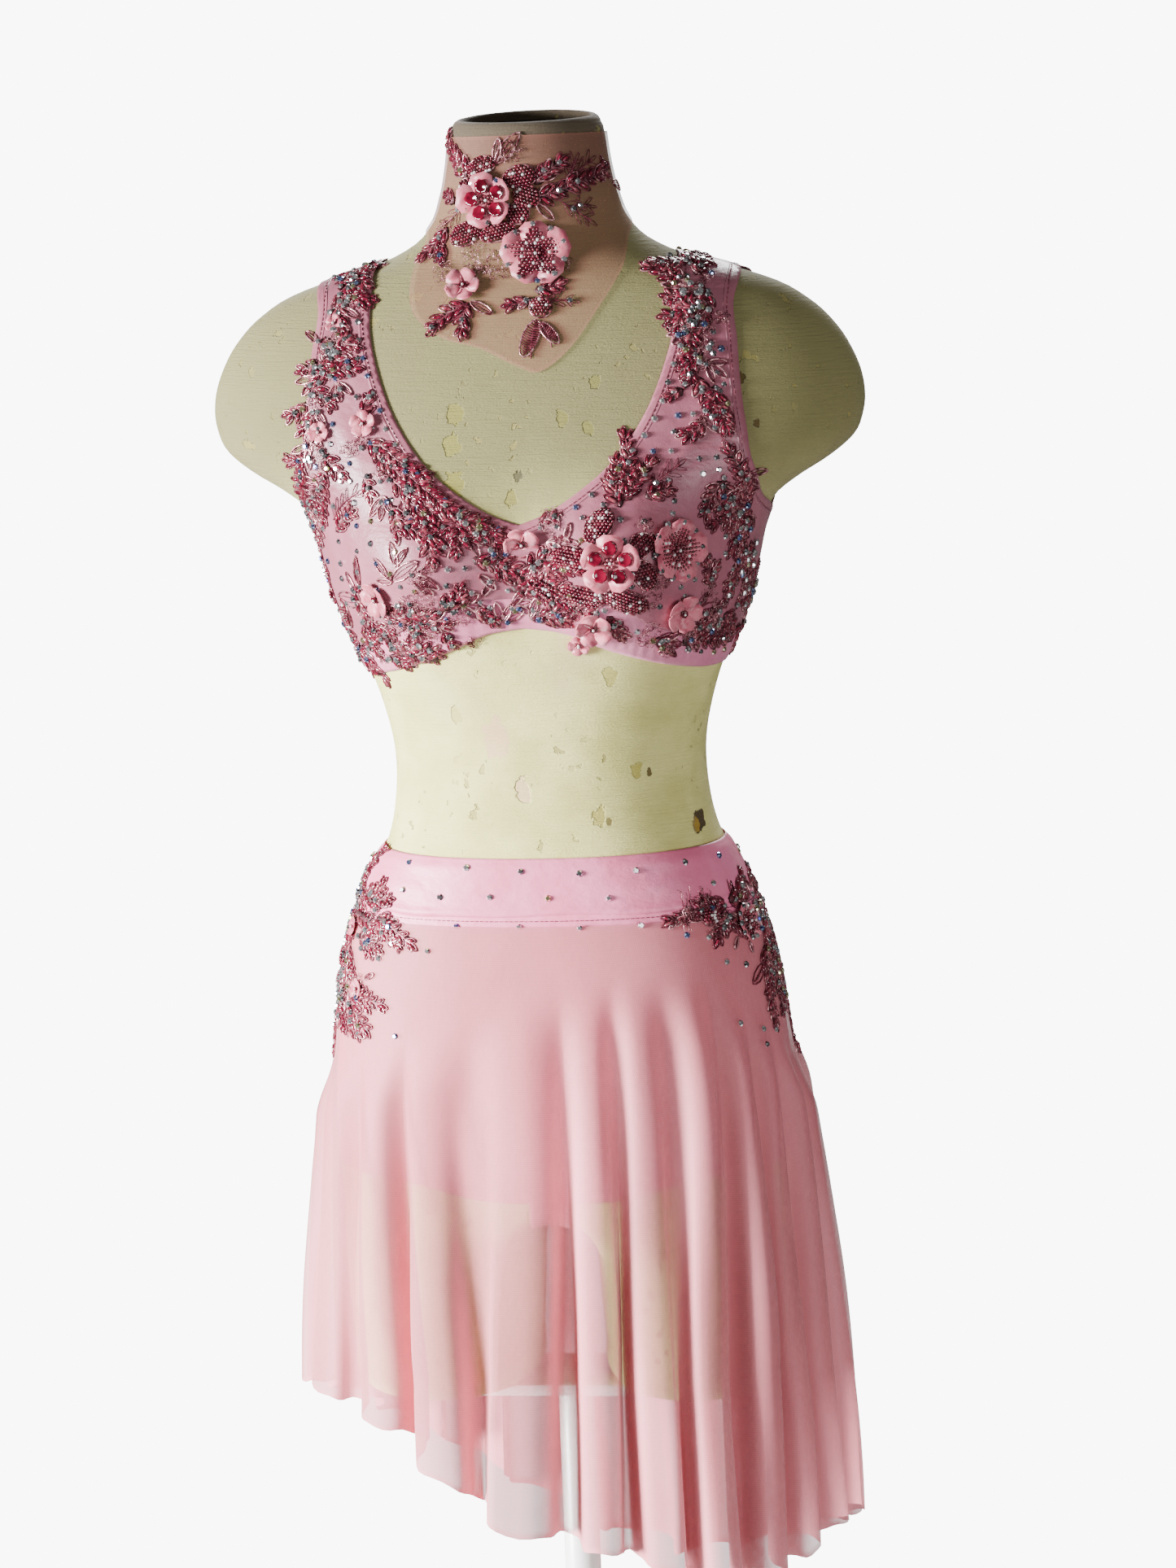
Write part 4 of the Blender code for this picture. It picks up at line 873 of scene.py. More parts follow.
def build_underband():
    look = satin("band_satin", (0.62, 0.18, 0.30), (0.72, 0.25, 0.38), 0.36)
    down = 13
    shares = np.linspace(0, 1, down)
    for ending, turns in halves(241):
        high, low = hem_height(turns, 1) + BAND_TUCK, hem_height(turns)
        heights = high[:, None] + shares * (low - high)[:, None]
        columns = np.broadcast_to(turns[:, None], heights.shape).ravel()
        across = np.broadcast_to(shares, heights.shape).ravel()
        puff = BAND_PUFF * np.sin(math.pi * across) ** 0.7
        ripple = BAND_RIPPLE * np.sin(columns * 96 + 1.5 * np.sin(columns * 13)) * np.sin(math.pi * across)
        tucked = BAND_DIP * np.exp(-((across / 0.16) ** 2))
        lift = BAND_LIFT - 0.0008 + puff + ripple - tucked
        points = lift_off(section_point(columns, heights.ravel()), lift)
        made = new_cloth("elastic_" + ending, points, grid_faces(len(turns), down), look)
        is_cut(made, "underband_" + ending, wall=SATIN_THICKNESS)


build_underband()

# Waistband
# A deep band of satin with a sewn tuck above its lower edge, where the skirt hangs from it.
WAIST_TOP = 0.7630
TUCK_Z = 0.7245
WAIST_LIFT, TUCK_RISE, TUCK_STEP = 0.0019, 0.0016, 0.0010
# Rows of points down the band, closest at the tuck: first and last height, count
WAIST_LEVELS = (
    (WAIST_TOP, TUCK_Z + 0.0012, 24), (TUCK_Z + 0.0006, TUCK_Z - 0.0010, 5),
    (TUCK_Z - 0.0018, WAIST_LOW, 8),
)
# The tuck wanders up and down: size, pace, start
TUCK_WANDER = ((0.0007, 5.0, 1.0), (0.0004, 11.0, 0.0))
# The roll of cloth over the tuck and the rounding of the top edge: height, distance from it, half width
TUCK_ROLL, TOP_ROUNDING = (0.0009, 0.0026, 0.0014), (-0.0020, 0.0, 0.0026)
# Soft wrinkles of the waistband: turn in degrees and height of both ends, half width, height
WAIST_WRINKLES = from_mm((1, 3, 4, 5), (
    (-74, 748, -30, 738, 3.5, 0.7), (-50, 756, -8, 752, 3, 0.6), (-36, 730, 6, 735, 3, 0.6),
    (2, 745, 46, 740, 3.5, 0.7), (24, 757, 70, 752, 2.8, 0.6), (52, 734, 84, 741, 3.2, 0.7),
    (110, 748, 150, 740, 3.6, 0.8), (160, 752, 205, 746, 3.4, 0.7), (214, 738, 250, 748, 3.4, 0.7),
))


def build_waistband():
    look = satin("waist_satin", (0.78, 0.17, 0.31), (0.86, 0.23, 0.40), 0.46)
    heights = np.concatenate([np.linspace(*run) for run in WAIST_LEVELS])
    down = len(heights)
    for ending, turns in halves(221):
        columns = np.repeat(turns, down)
        levels = np.tile(heights, len(turns))
        degrees = np.degrees(columns)
        wander = sum(size * np.sin(columns * pace + start) for size, pace, start in TUCK_WANDER)
        above_tuck = levels - TUCK_Z - wander
        lift = WAIST_LIFT + TUCK_RISE * eased(above_tuck / TUCK_STEP + 0.5)
        for (rise, away, width), level in ((TUCK_ROLL, above_tuck), (TOP_ROUNDING, levels - WAIST_TOP)):
            lift = lift + rise * bell(level - away, width)
        for turn0, z0, turn1, z1, width, rise in WAIST_WRINKLES:
            share = np.clip((degrees - turn0) / (turn1 - turn0), -0.2, 1.2)
            aside = levels - (z0 + (z1 - z0) * share)
            ends = np.clip(1 - np.abs(2 * share - 1) ** 2.5, 0, 1)
            lift = lift + rise * ends * ridge(aside, width, 0.5, 1.7)
        points = lift_off(section_point(columns, levels), lift)
        made = new_cloth("satin_waist_" + ending, points, grid_faces(len(turns), down), look)
        is_cut(made, "waistband_" + ending, wall=SATIN_THICKNESS)


build_waistband()

# Skirt
# Two half skirts of sheer stretch mesh, gathered into the waistband. They lie smooth over the hips
# and fall in soft organ-pipe folds to a slanting raw-cut hem.
# Hanging free below the hips, at the bottom of its folds: height, half width, front, back, fold depth
HANG_ROWS = from_mm((0, 1, 2, 3, 4), (
    (235, 169, 124, 136, 35), (300, 168.5, 120, 133, 33.5), (350, 168, 116, 130, 31.5),
    (400, 167, 112, 127, 29), (450, 166, 108, 124, 25.5), (500, 164.5, 103.5, 121, 21),
    (550, 162.5, 99, 117.5, 16.5), (600, 159, 94.5, 112.5, 12), (640, 152, 90, 105, 8),
    (680, 140, 85, 95, 5), (720, 125, 80, 85, 4),
))
# Slanting hem: turn from centre front in degrees, height
SKIRT_HEM_ROWS = from_mm((1,), (
    (-180, 216), (-165, 253), (-150, 283), (-135, 314), (-120, 342), (-105, 362), (-90, 380),
    (-75, 390), (-60, 393), (-45, 388), (-30, 372), (-15, 340), (0, 312), (15, 295), (30, 277),
    (45, 274), (60, 284), (75, 293), (90, 286), (105, 270), (120, 250), (135, 230), (150, 215),
    (165, 205), (180, 216),
))
# Folds from side seam to side seam: turn of the crest at the hips and at the hem in degrees, depth,
# height where it starts
FRONT_FOLDS = from_mm((3,), (
    (-90, -90, 0.85, 624), (-68, -59, 0.8, 634), (-43, -37, 0.9, 644), (-31, -20, 1, 654),
    (-3, -3, 1, 684), (10, 8, 1, 686), (21, 19, 0.9, 689), (38, 33, 1, 686), (52, 47, 1, 674),
    (64, 59, 0.75, 659), (77, 74, 0.85, 639), (90, 90, 0.9, 624),
))
BACK_FOLDS = from_mm((3,), (
    (90, 90, 0.9, 624), (107, 106, 0.9, 640), (124, 123, 1, 655), (140, 141, 0.8, 660),
    (157, 158, 1, 665), (174, 175, 0.9, 660), (192, 193, 1, 660), (210.5, 211, 0.9, 650),
    (229, 229, 1, 645), (248, 247, 0.9, 630), (270, 270, 0.85, 624),
))
# Lesser folds between them: turn at the hips and at the hem in degrees, depth, height where it starts
LESSER_FOLDS = from_mm((3,), (
    (-57, -48, 0.26, 560), (-16, -11, 0.34, 640), (29, 26, 0.22, 650), (115, 114.5, 0.22, 560),
    (148, 149, 0.2, 580), (183, 184, 0.22, 600), (238, 238, 0.24, 560),
))
LESSER_WIDTH, LESSER_GROWTH = 2.6, 0.08
NET_PITCH = 0.0045
# What the net, patches and grain add to how much the mesh hides, and what is taken off again
NET_SHARE, PATCHY_SHARE, GRAINY_SHARE, COVER_DROP = 0.12, 0.07, 0.16, 0.19
# How much of what lies behind it each half hides where it is flat
MESH_COVER = {"front": 0.56, "back": 0.74}
FOLD_GROWTH, FOLD_SPREAD = 0.055, 0.30
FOLD_PINCH, FOLD_STEEPNESS = 0.09, 0.05
SKIRT_LIFT, SKIRT_TUCKED = 0.0034, 0.004
# Rows of points down the skirt, how they crowd to the top, and columns of points to a fold
SKIRT_DOWN, SKIRT_CROWDING, SKIRT_ACROSS = 76, 0.94, 18
# Each fold sways aside and swells a little on its way down: size, pace, change from fold to fold
SWAY, SWELL, CREST_ROUNDING = (0.055, 11.0, 1.9), (0.07, 17.0, 2.3), 0.004
# The raw hem's ripples: size, pace, start
HEM_RIPPLES, HEM_TURN_HEIGHT = ((0.0012, 9.0, 0.0), (0.0008, 23.0, 1.0)), 0.3
# How much more the mesh hides where it runs away from the eye and along its hem
STEEP_COVER, STEEP_GAIN, HEM_COVER, HEM_EDGE = 0.46, 1.35, 0.25, 0.0016
LARGER_BLEND = 0.0022


def larger(first, second):
    """The larger of two lengths, with the corner between them rounded."""
    return (first + second + np.sqrt((first - second) ** 2 + LARGER_BLEND**2)) / 2


def hung(z):
    """How far down the skirt a height is, up to where its folds have fully spread."""
    return np.clip((WAIST_LOW - z) / FOLD_SPREAD, 0, 1)


def uneven(kind, z, phase):
    """A slow wave down each fold, which differs from fold to fold."""
    size, pace, change = kind
    return size * np.sin(pace * z + change * np.round(phase))


def skirt_turn(folds, phase, z):
    """The turn in degrees of a half skirt at phases, where whole numbers are crests, and heights."""
    table = np.array(folds)
    places = np.arange(len(folds))
    hips = np.interp(phase, places, table[:, 0])
    hem = np.interp(phase, places, table[:, 1])
    return hips + (hem - hips) * hung(z)


def skirt_points(folds, phase, z):
    """Points of a half skirt's cloth."""
    table = np.array(folds)
    places = np.arange(len(folds))
    share = phase - np.floor(phase)
    depth = np.interp(phase, places, table[:, 2])
    start = np.interp(phase, places, table[:, 3])
    grown = eased((start - z) / FOLD_GROWTH)
    full = np.clip((start - z) / (4 * FOLD_GROWTH), 0, 1)
    shift = FOLD_PINCH * np.sin(2 * math.pi * share) + FOLD_STEEPNESS * np.sin(4 * math.pi * share)
    ends = np.minimum(phase, places[-1] - phase)
    sway = uneven(SWAY, z, phase) * full * np.clip(ends, 0, 1)
    turn = skirt_turn(folds, np.clip(phase + shift * full + sway, 0, places[-1]), z)
    crest = 0.5 * (0.5 + 0.5 * np.cos(2 * math.pi * share))
    crest = crest + 0.5 * np.sqrt(np.cos(math.pi * share) ** 2 + CREST_ROUNDING)
    swell = 1 + uneven(SWELL, z, phase)
    *sizes, power = read_rows(FORM_ROWS, z)
    *hanging, reach = read_rows(HANG_ROWS, z)
    out = reach * depth * crest * grown * swell
    for hips, hem, lesser, high in LESSER_FOLDS:
        aside = turn - hips - (hem - hips) * hung(z)
        out = out + reach * lesser * bell(aside, LESSER_WIDTH) * eased((high - z) / LESSER_GROWTH)
    sizes = [larger(size + SKIRT_LIFT, hang) + out for size, hang in zip(sizes, hanging)]
    return np.stack([*oval(np.radians(turn), *sizes, power), z], -1)


def sheer_mesh(name, colour, light):
    """Sheer stretch mesh: seen through where it is flat, less where it runs away in a fold."""
    look = Look(name, colour, 0.62, Sheen_Weight=0.15, Sheen_Roughness=0.5, Specular_IOR_Level=0.25)
    look.mottle(colour, light, 0.3, 0.7, 12.0, (1, 1, 0.5), 4.0)
    place = look.node("ShaderNodeUVMap", "UV", uv_map="cloth")
    sizes = {"Vector": place, "Scale": 1 / NET_PITCH, "Distortion": 0.6, "Detail": 0.0}
    threads = [look.node("ShaderNodeTexWave", "Fac", sizes, bands_direction=way) for way in ("X", "Y")]
    net = look.calc("MAXIMUM", *threads)
    patchy = look.times(look.noise(60.0, (1, 1, 0.4)), PATCHY_SHARE)
    grainy = look.times(look.noise(420.0, (1, 1, 0.5)), GRAINY_SHARE)
    cover = look.calc("ADD", patchy, grainy, look.times(net, NET_SHARE))
    cover = look.calc("SUBTRACT", look.calc("ADD", look.value("cover"), cover), COVER_DROP)
    look.show("Alpha", look.calc("MINIMUM", look.calc("MAXIMUM", cover, 0.0), 1.0))
    look.bump(net, 0.20, 0.0003)
    return look


def build_skirt():
    look = sheer_mesh("blush_mesh", (0.60, 0.185, 0.215), (0.68, 0.235, 0.27))
    top = WAIST_LOW + SKIRT_TUCKED
    shares = np.linspace(0, 1, SKIRT_DOWN) ** SKIRT_CROWDING
    down = len(shares)
    for ending, folds in (("front", FRONT_FOLDS), ("back", BACK_FOLDS)):
        seam = math.degrees(SIDE_SEAM_TURN)
        sides = [list(fold) for fold in folds]
        for row, inwards in ((sides[0], seam), (sides[-1], -seam)):
            row[0] += inwards
            row[1] += inwards
        phases = np.linspace(0, len(sides) - 1, SKIRT_ACROSS * (len(sides) - 1) + 1)
        turns = np.radians(skirt_turn(sides, phases, HEM_TURN_HEIGHT))
        hem = read_rows(SKIRT_HEM_ROWS, unwound(turns))[0]
        for size, pace, start in HEM_RIPPLES:
            hem = hem + size * np.sin(phases * pace + start)
        heights = top + shares * (hem[:, None] - top)
        columns = np.broadcast_to(phases[:, None], heights.shape)
        points = skirt_points(sides, columns.ravel(), heights.ravel())
        cloth = new_cloth("mesh_skirt_" + ending, points, grid_faces(len(phases), down), look)
        grid = points.reshape(len(phases), down, 3)
        along, fall = lengths(grid, 0), lengths(grid, 1)
        give_map(cloth, np.stack([along.ravel(), fall.ravel()], -1))
        normals = np.empty(len(points) * 3, np.float32)
        cloth.data.vertices.foreach_get("normal", normals)
        normals = normals.reshape(-1, 3)
        radial = points * (1, 1, 0)
        radial = radial / np.linalg.norm(radial, axis=1, keepdims=True)
        steep = 1 - np.abs((normals * radial).sum(axis=1))
        from_hem = fall[:, -1:] - fall
        cover = MESH_COVER[ending] + STEEP_COVER * np.clip(steep * STEEP_GAIN, 0, 1)
        cover = cover + HEM_COVER * np.exp(-((from_hem / HEM_EDGE) ** 2)).ravel()
        give_values(cloth, "cover", np.clip(cover, 0, 1))
        is_cut(cloth, "skirt_" + ending)


build_skirt()

# Neck piece
# A close collar of sheer mesh with a pointed front panel in one piece, closed edge to edge at
# centre back. Its edges are raw and it carries the upper part of the beaded lace.
COLLAR_TOP = 1.2400
# Bearing from centre front in degrees, height of the lower edge
BIB_ROWS = from_mm((1,), (
    (-180, 1198), (-110, 1190), (-84, 1179), (-71, 1170), (-61, 1150), (-52, 1126), (-43, 1114),
    (-18, 1101), (1, 1089), (8, 1085.5), (14, 1088.5), (24, 1099), (41, 1125), (55, 1147), (72, 1170),
    (86, 1179), (110, 1190), (180, 1198),
))
NECK_SLIT = 0.006
NECK_LIFT = 0.0017
# How much the collar hides, how much less its panel does, below what height and over what drop
COLLAR_COVER, PANEL_THINNING = 0.38, 0.05
COLLAR_FOLD, COLLAR_FADE = 1.175, 0.045


def build_neck_piece():
    look = sheer_mesh("neck_mesh", (0.41, 0.165, 0.120), (0.48, 0.210, 0.150))
    bearings = np.linspace(-math.pi + NECK_SLIT, math.pi - NECK_SLIT, 241)
    shares = np.linspace(0, 1, 44)
    low = read_rows(BIB_ROWS, np.degrees(bearings))[0]
    heights = COLLAR_TOP + shares * (low[:, None] - COLLAR_TOP)
    half, front, back, _ = read_rows(FORM_ROWS, heights)
    aim = bearings[:, None]
    turns = np.arctan2(np.sin(aim) * np.where(np.cos(aim) > 0, front, back), np.cos(aim) * half)
    points = section_point(turns.ravel(), heights.ravel())
    points = lift_off(points, np.full(len(points), NECK_LIFT))
    cloth = new_cloth("mesh_collar", points, grid_faces(len(bearings), len(shares)), look)
    fall = lengths(points.reshape(len(bearings), len(shares), 3), 1)
    width = np.broadcast_to(aim * 0.06, fall.shape)
    give_map(cloth, np.stack([width.ravel(), fall.ravel()], -1))
    from_edge = np.minimum(fall, fall[:, -1:] - fall)
    sheerness = np.clip((COLLAR_FOLD - points[:, 2]) / COLLAR_FADE, 0, 1).reshape(fall.shape)
    cover = COLLAR_COVER - PANEL_THINNING * sheerness + 0.16 * np.exp(-((from_edge / 0.0014) ** 2))
    give_values(cloth, "cover", cover.ravel())
    is_cut(cloth, "neck_piece")


build_neck_piece()

# Beaded lace on the neck piece
# Leaf sprays, bead-filled lobes and flowers, embroidered in rose and silver-pink cord, cut out and
# sewn on by hand. Rice beads, seed beads, satin petals and cupped sequins are sewn on top of them.
# Sprays: x, height, heading seen from the front in degrees, length, kind where it isn't beaded leaves
NECK_SPRAYS = from_mm((0, 1, 3), (
    (-15, 1222, 50, 26, "loop"), (-15, 1222, 80, 17, "loop"), (-32, 1217, 150, 41),
    (-35, 1214, 145, 20), (12, 1209, 45, 23), (11, 1208, 55, 13), (11, 1200, 5, 24),
    (11, 1195, -45, 16, "loop"), (28, 1207, 5, 42), (56, 1206, -10, 20, "loop"),
    (32, 1207, 80, 17, "fine"), (32, 1210, 40, 21, "fine"), (27, 1195, -30, 23, "fine"),
    (33, 1191, 20, 14, "fine"), (-40, 1194, -125, 20, "fine"), (-50, 1180, -120, 26),
    (-53, 1170, -90, 14), (-45, 1197, 140, 12), (-35, 1131, -155, 30), (-35, 1131, -105, 22),
    (-33, 1132, -30, 18, "loop"), (7, 1132, -160, 16), (11, 1138, 5, 17), (19, 1130, 15, 16, "fine"),
    (12, 1119, -110, 27, "vane"), (14, 1117, -50, 19, "vane"),
))
# Lobes filled with seed beads: x, height, half length, half width, heading
NECK_LOBES = from_mm((0, 1, 2, 3), (
    (-25, 1220, 11, 6.5, 20), (1, 1213, 11.5, 7.5, 10), (5, 1200, 9, 7.5, -20), (-1, 1189, 7, 7.5, -60),
    (-15, 1177, 12.5, 6.2, 15), (-37, 1176, 11.5, 8, 20), (-35, 1208, 5, 5.5, 80),
    (14, 1127, 7.5, 7.5, 0),
))
# Flowers: x, height, radius, kind (1 large satin with sequins, 2 all beads, small satin without one)
NECK_FLOWERS = from_mm((0, 1, 2), ((-21, 1198, 19, 1), (10, 1162, 21.5, 2), (-38, 1142, 11.5)))
# Patches of loose metallic thread: x, height, radius
NECK_FUZZ = from_mm((0, 1, 2), (
    (-31, 1161, 10.5), (-52, 1150, 8.5), (-13, 1155, 10.5), (-29, 1149, 7), (28, 1154, 5.5),
    (-58, 1164, 5), (-4, 1229, 7.5),
))
LEAF_LENGTH, LEAF_PITCH = 0.0106, 0.0068
# Leaves: width as a share of the length, cord of the outline
LEAF_KINDS = {
    "rice": (0.44, "rose_cord"),
    "leaf": (0.44, "rose_cord"),
    "loop": (0.34, "pale_cord"),
    "fine": (0.24, "thread"),
}
PALE_LEAVES = 0.18
# A spray's bend in radians, and how far its leaves lean aside and vary in size
STEM_BEND, LEAF_LEAN, LEAF_SIZES = 0.30, (0.48, 0.80), (0.82, 1.16)
VANE_WIDTH, RIB_PITCH = 0.20, 0.0016
# Size of the dark crimson patch laid under each pair of leaves: painted shade between the dense beads
SHADE_PATCH_SIZE = (0.0105, 0.0078, 0.0012)
# Curls of thread to a metre of a patch's radius, their sizes and how high they lie
FUZZ_CURLS, CURL_SIZES, CURL_RISES = 6400, (0.0008, 0.0022), (0.0006, 0.0020)
ALL_ROUND = 6.283
# How steeply the petals of each kind of flower stand
PETAL_COUNT, PETAL_RISES = 5, (0.7, 0.6, 0.22)
SEED_PITCH = 0.0023
# Kinds that are drawn by chance, each with the share of draws that falls to it or to one before it
STONE_KINDS = (("stone_dark", 0.34), ("stone_light", 0.78), ("stone_blue", 0.90), ("stone_gold", 1.0))
# The near-white clear beads among the crimson ones are painted glints
BEAD_KINDS = (("crimson_seed", 0.62), ("rose_seed", 0.90), ("clear_seed", 1.0))
RICE_KINDS = (("crimson_rice", 0.58), ("rose_rice", 1.0))
BAND_KINDS = (("spray", 0.62), ("loops", 0.86), ("fuzz", 1.0))
# Least and greatest lengths of what fills a band, and how far its parts stray
SHORT_SPRAY, SHORT_LOOP, BAND_FUZZ = (0.014, 0.024), (0.012, 0.017), 0.0055
BAND_STRAY, STONE_STRAY = (-0.004, 0.004), (-0.006, 0.006)
BEAD_SIZE, STONE_SIZE = (0.0027, 0.0023, 0.0023), 0.0042


def flecked(name, dark, light, roughness, scale, **values):
    """A material that differs a little from one small part to the next."""
    look = Look(name, light, roughness, **values)
    look.mottle(dark, light, 0.38, 0.62, scale, (1, 1, 1), 2.0)
    return look


def cut_glass(name, dark, light):
    """Foiled glass coloured from dark to light by each facet's own tone: painted glints and reflections."""
    look = Look(name, light, 0.06, Metallic=0.85)
    look.show("Base Color", look.blend(dark, light, look.value("tone")))
    return look


def lathed(name, profile, sides, axis="Z", faceted=False):
    """A small closed shape, turned about an axis from (distance along it, radius) pairs."""
    points = []
    for along, radius in profile:
        for angle in np.linspace(0, 2 * math.pi, sides, endpoint=False):
            round_about = (radius * math.cos(angle), radius * math.sin(angle))
            points.append((*round_about, along) if axis == "Z" else (along, *round_about))
    mesh = new_mesh(name, points, lathe_faces(len(profile), sides))
    if not faceted:
        mesh.shade_smooth()
    return mesh


def stone_shape(name):
    """A cut stone whose facets carry fixed tones from dark to light: painted glints and reflections, so
    that it glitters in even light.
    """
    mesh = lathed(name, ((0.00, 0.50), (0.12, 0.50), (0.36, 0.30)), 8, faceted=True)
    tones = [0.3, 0.25] + [0.5] * 8 + [0.0, 1.0, 0.15, 0.85, 0.30, 1.0, 0.05, 0.70]
    mesh.attributes.new("tone", "FLOAT", "FACE").data.foreach_set("value", tones)
    return mesh


def petal_shape(name):
    """One cupped satin petal, one unit long, with a rounded end that turns up."""
    lines = []
    for share, wide, rise in ((0.0, 0.10, 0.04), (0.40, 0.38, 0.07), (0.78, 0.46, 0.16), (1.0, 0.24, 0.30)):
        lines.append([(share, -wide, rise + 0.10), (share, 0.0, rise), (share, wide, rise + 0.10)])
    top = np.array(lines).reshape(-1, 3)
    points = np.concatenate([top, top - (0, 0, 0.06)])
    faces = []
    for row in range(3):
        for k in range(2):
            first = 3 * row + k
            faces.append((first, first + 3, first + 4, first + 1))
            faces.append((first + 12, first + 13, first + 16, first + 15))
    rim = [0, 3, 6, 9, 10, 11, 8, 5, 2, 1]
    for here, after in zip(rim, rim[1:] + rim[:1]):
        faces.append((here, here + 12, after + 12, after))
    mesh = new_mesh(name, points, faces)
    mesh.shade_smooth()
    return mesh


RICE = ((-0.50, 0.16), (-0.26, 0.46), (0.26, 0.46), (0.50, 0.16))
SEED = ((-0.45, 0.20), (-0.15, 0.50), (0.25, 0.44), (0.45, 0.12))
CUP = ((0.00, 0.30), (0.16, 0.50), (0.30, 0.52), (0.20, 0.36), (0.10, 0.10))
SHAPES = {
    "rice": lathed("rice", RICE, 6, "X"),
    "seed": lathed("seed", SEED, 6),
    "cup": lathed("cup", CUP, 7),
    "stone": stone_shape("stone"),
    "petal": petal_shape("petal"),
    "scrap": lathed("scrap", ((0.00, 0.50), (0.60, 0.32)), 6),
}
# Looks: name, darker colour, lighter colour, roughness, flecks a metre, and how metallic, coated or silky
FLECKED = (
    ("rose_cord", (0.10, 0.010, 0.023), (0.27, 0.058, 0.088), 0.32, 260.0, {"Metallic": 0.35}),
    ("silver_pink_cord", (0.15, 0.026, 0.042), (0.66, 0.32, 0.35), 0.24, 300.0, {"Metallic": 0.55}),
    ("crimson_glass", (0.06, 0.002, 0.009), (0.21, 0.012, 0.036), 0.13, 320.0, {"Coat_Weight": 0.6}),
    ("rose_glass", (0.12, 0.012, 0.024), (0.31, 0.062, 0.086), 0.15, 320.0, {"Coat_Weight": 0.6}),
    ("glinting_clear_glass", (0.80, 0.60, 0.62), (0.95, 0.93, 0.93), 0.05, 500.0, {"Coat_Weight": 0.8}),
    ("petal_satin", (0.54, 0.095, 0.15), (0.74, 0.20, 0.26), 0.40, 150.0, {"Sheen_Weight": 0.3}),
    # Near-black crimson for the patches under the leaves: painted shade between the beads
    ("crimson_shade_patch", (0.022, 0.0018, 0.004), (0.075, 0.008, 0.015), 0.55, 300.0, {}),
    ("crimson_sequin", (0.06, 0.0005, 0.006), (0.19, 0.003, 0.022), 0.10, 120.0, {"Coat_Weight": 0.4}),
)
LOOKS = {name: flecked(name, *sizes, **values) for name, *sizes, values in FLECKED}
# Each kind of small part: shape, material
PARTS = {
    "crimson_rice": ("rice", LOOKS["crimson_glass"]),
    "rose_rice": ("rice", LOOKS["rose_glass"]),
    "crimson_seed": ("seed", LOOKS["crimson_glass"]),
    "rose_seed": ("seed", LOOKS["rose_glass"]),
    "clear_seed": ("seed", LOOKS["glinting_clear_glass"]),
    "petal": ("petal", LOOKS["petal_satin"]),
    "sequin": ("cup", LOOKS["crimson_sequin"]),
    # The patch under each pair of leaves is painted shade between the beads
    "ground": ("scrap", LOOKS["crimson_shade_patch"]),
    # Each stone's facets run from its dark to its light colour: painted glints and reflections
    "stone_light": ("stone", cut_glass("light_stone", (0.26, 0.26, 0.29), (1.00, 1.00, 1.00))),
    "stone_dark": ("stone", cut_glass("dark_stone", (0.015, 0.015, 0.020), (0.80, 0.80, 0.84))),
    "stone_blue": ("stone", cut_glass("blue_stone", (0.02, 0.02, 0.16), (0.50, 0.66, 0.95))),
    "stone_gold": ("stone", cut_glass("gold_stone", (0.16, 0.13, 0.02), (0.96, 0.92, 0.66))),
}
# Each kind of cord: radius, number of sides, material
CORDS = {
    "rose_cord": (0.00056, 5, LOOKS["rose_cord"]),
    "pale_cord": (0.00070, 5, LOOKS["silver_pink_cord"]),
    "thread": (0.00028, 4, LOOKS["rose_cord"]),
    "fuzz": (0.00025, 3, LOOKS["silver_pink_cord"]),
}


def sewing_tree(name, sizes, made_of):
    """A node tree with named inputs for its sizes and finish. What made_of adds is in its middle."""
    tree = bpy.data.node_groups.new(name, "GeometryNodeTree")
    tree.interface.new_socket("Geometry", in_out="OUTPUT", socket_type="NodeSocketGeometry")
    for label, kind in (("Geometry", "Geometry"), *sizes, ("Finish", "Material")):
        tree.interface.new_socket(label, in_out="INPUT", socket_type="NodeSocket" + kind)
    given = add_node(tree, "NodeGroupInput").outputs
    real = add_node(tree, "GeometryNodeRealizeInstances", {"Geometry": made_of(tree, given)}).outputs[0]
    finish = add_node(tree, "GeometryNodeSetMaterial", {"Geometry": real, "Material": given["Finish"]})
    add_node(tree, "NodeGroupOutput", {"Geometry": finish.outputs[0]})
    return tree


def parts_on_points(tree, given):
    """Puts the small shape on each point, turned and sized by the point's own values."""
    shape = add_node(tree, "GeometryNodeObjectInfo", {"Object": given["Shape"]})
    put = {"Points": given["Geometry"], "Instance": shape.outputs["Geometry"]}
    for label, kind, socket in (("turned", "QUATERNION", "Rotation"), ("size", "FLOAT_VECTOR", "Scale")):
        read = add_node(tree, "GeometryNodeInputNamedAttribute", {"Name": label}, data_type=kind)
        put[socket] = read.outputs["Attribute"]
    return add_node(tree, "GeometryNodeInstanceOnPoints", put).outputs["Instances"]


def cord_on_lines(tree, given):
    """Gives each line a round section."""
    curve = add_node(tree, "GeometryNodeMeshToCurve", {"Mesh": given["Geometry"]}).outputs["Curve"]
    sizes = {"Resolution": given["Sides"], "Radius": given["Radius"]}
    section = add_node(tree, "GeometryNodeCurvePrimitiveCircle", sizes).outputs["Curve"]
    sweep = {"Curve": curve, "Profile Curve": section, "Fill Caps": True}
    return add_node(tree, "GeometryNodeCurveToMesh", sweep).outputs["Mesh"]


SOW = sewing_tree("sewn_parts", (("Shape", "Object"),), parts_on_points)
LAY = sewing_tree("laid_cord", (("Radius", "Float"), ("Sides", "Int")), cord_on_lines)


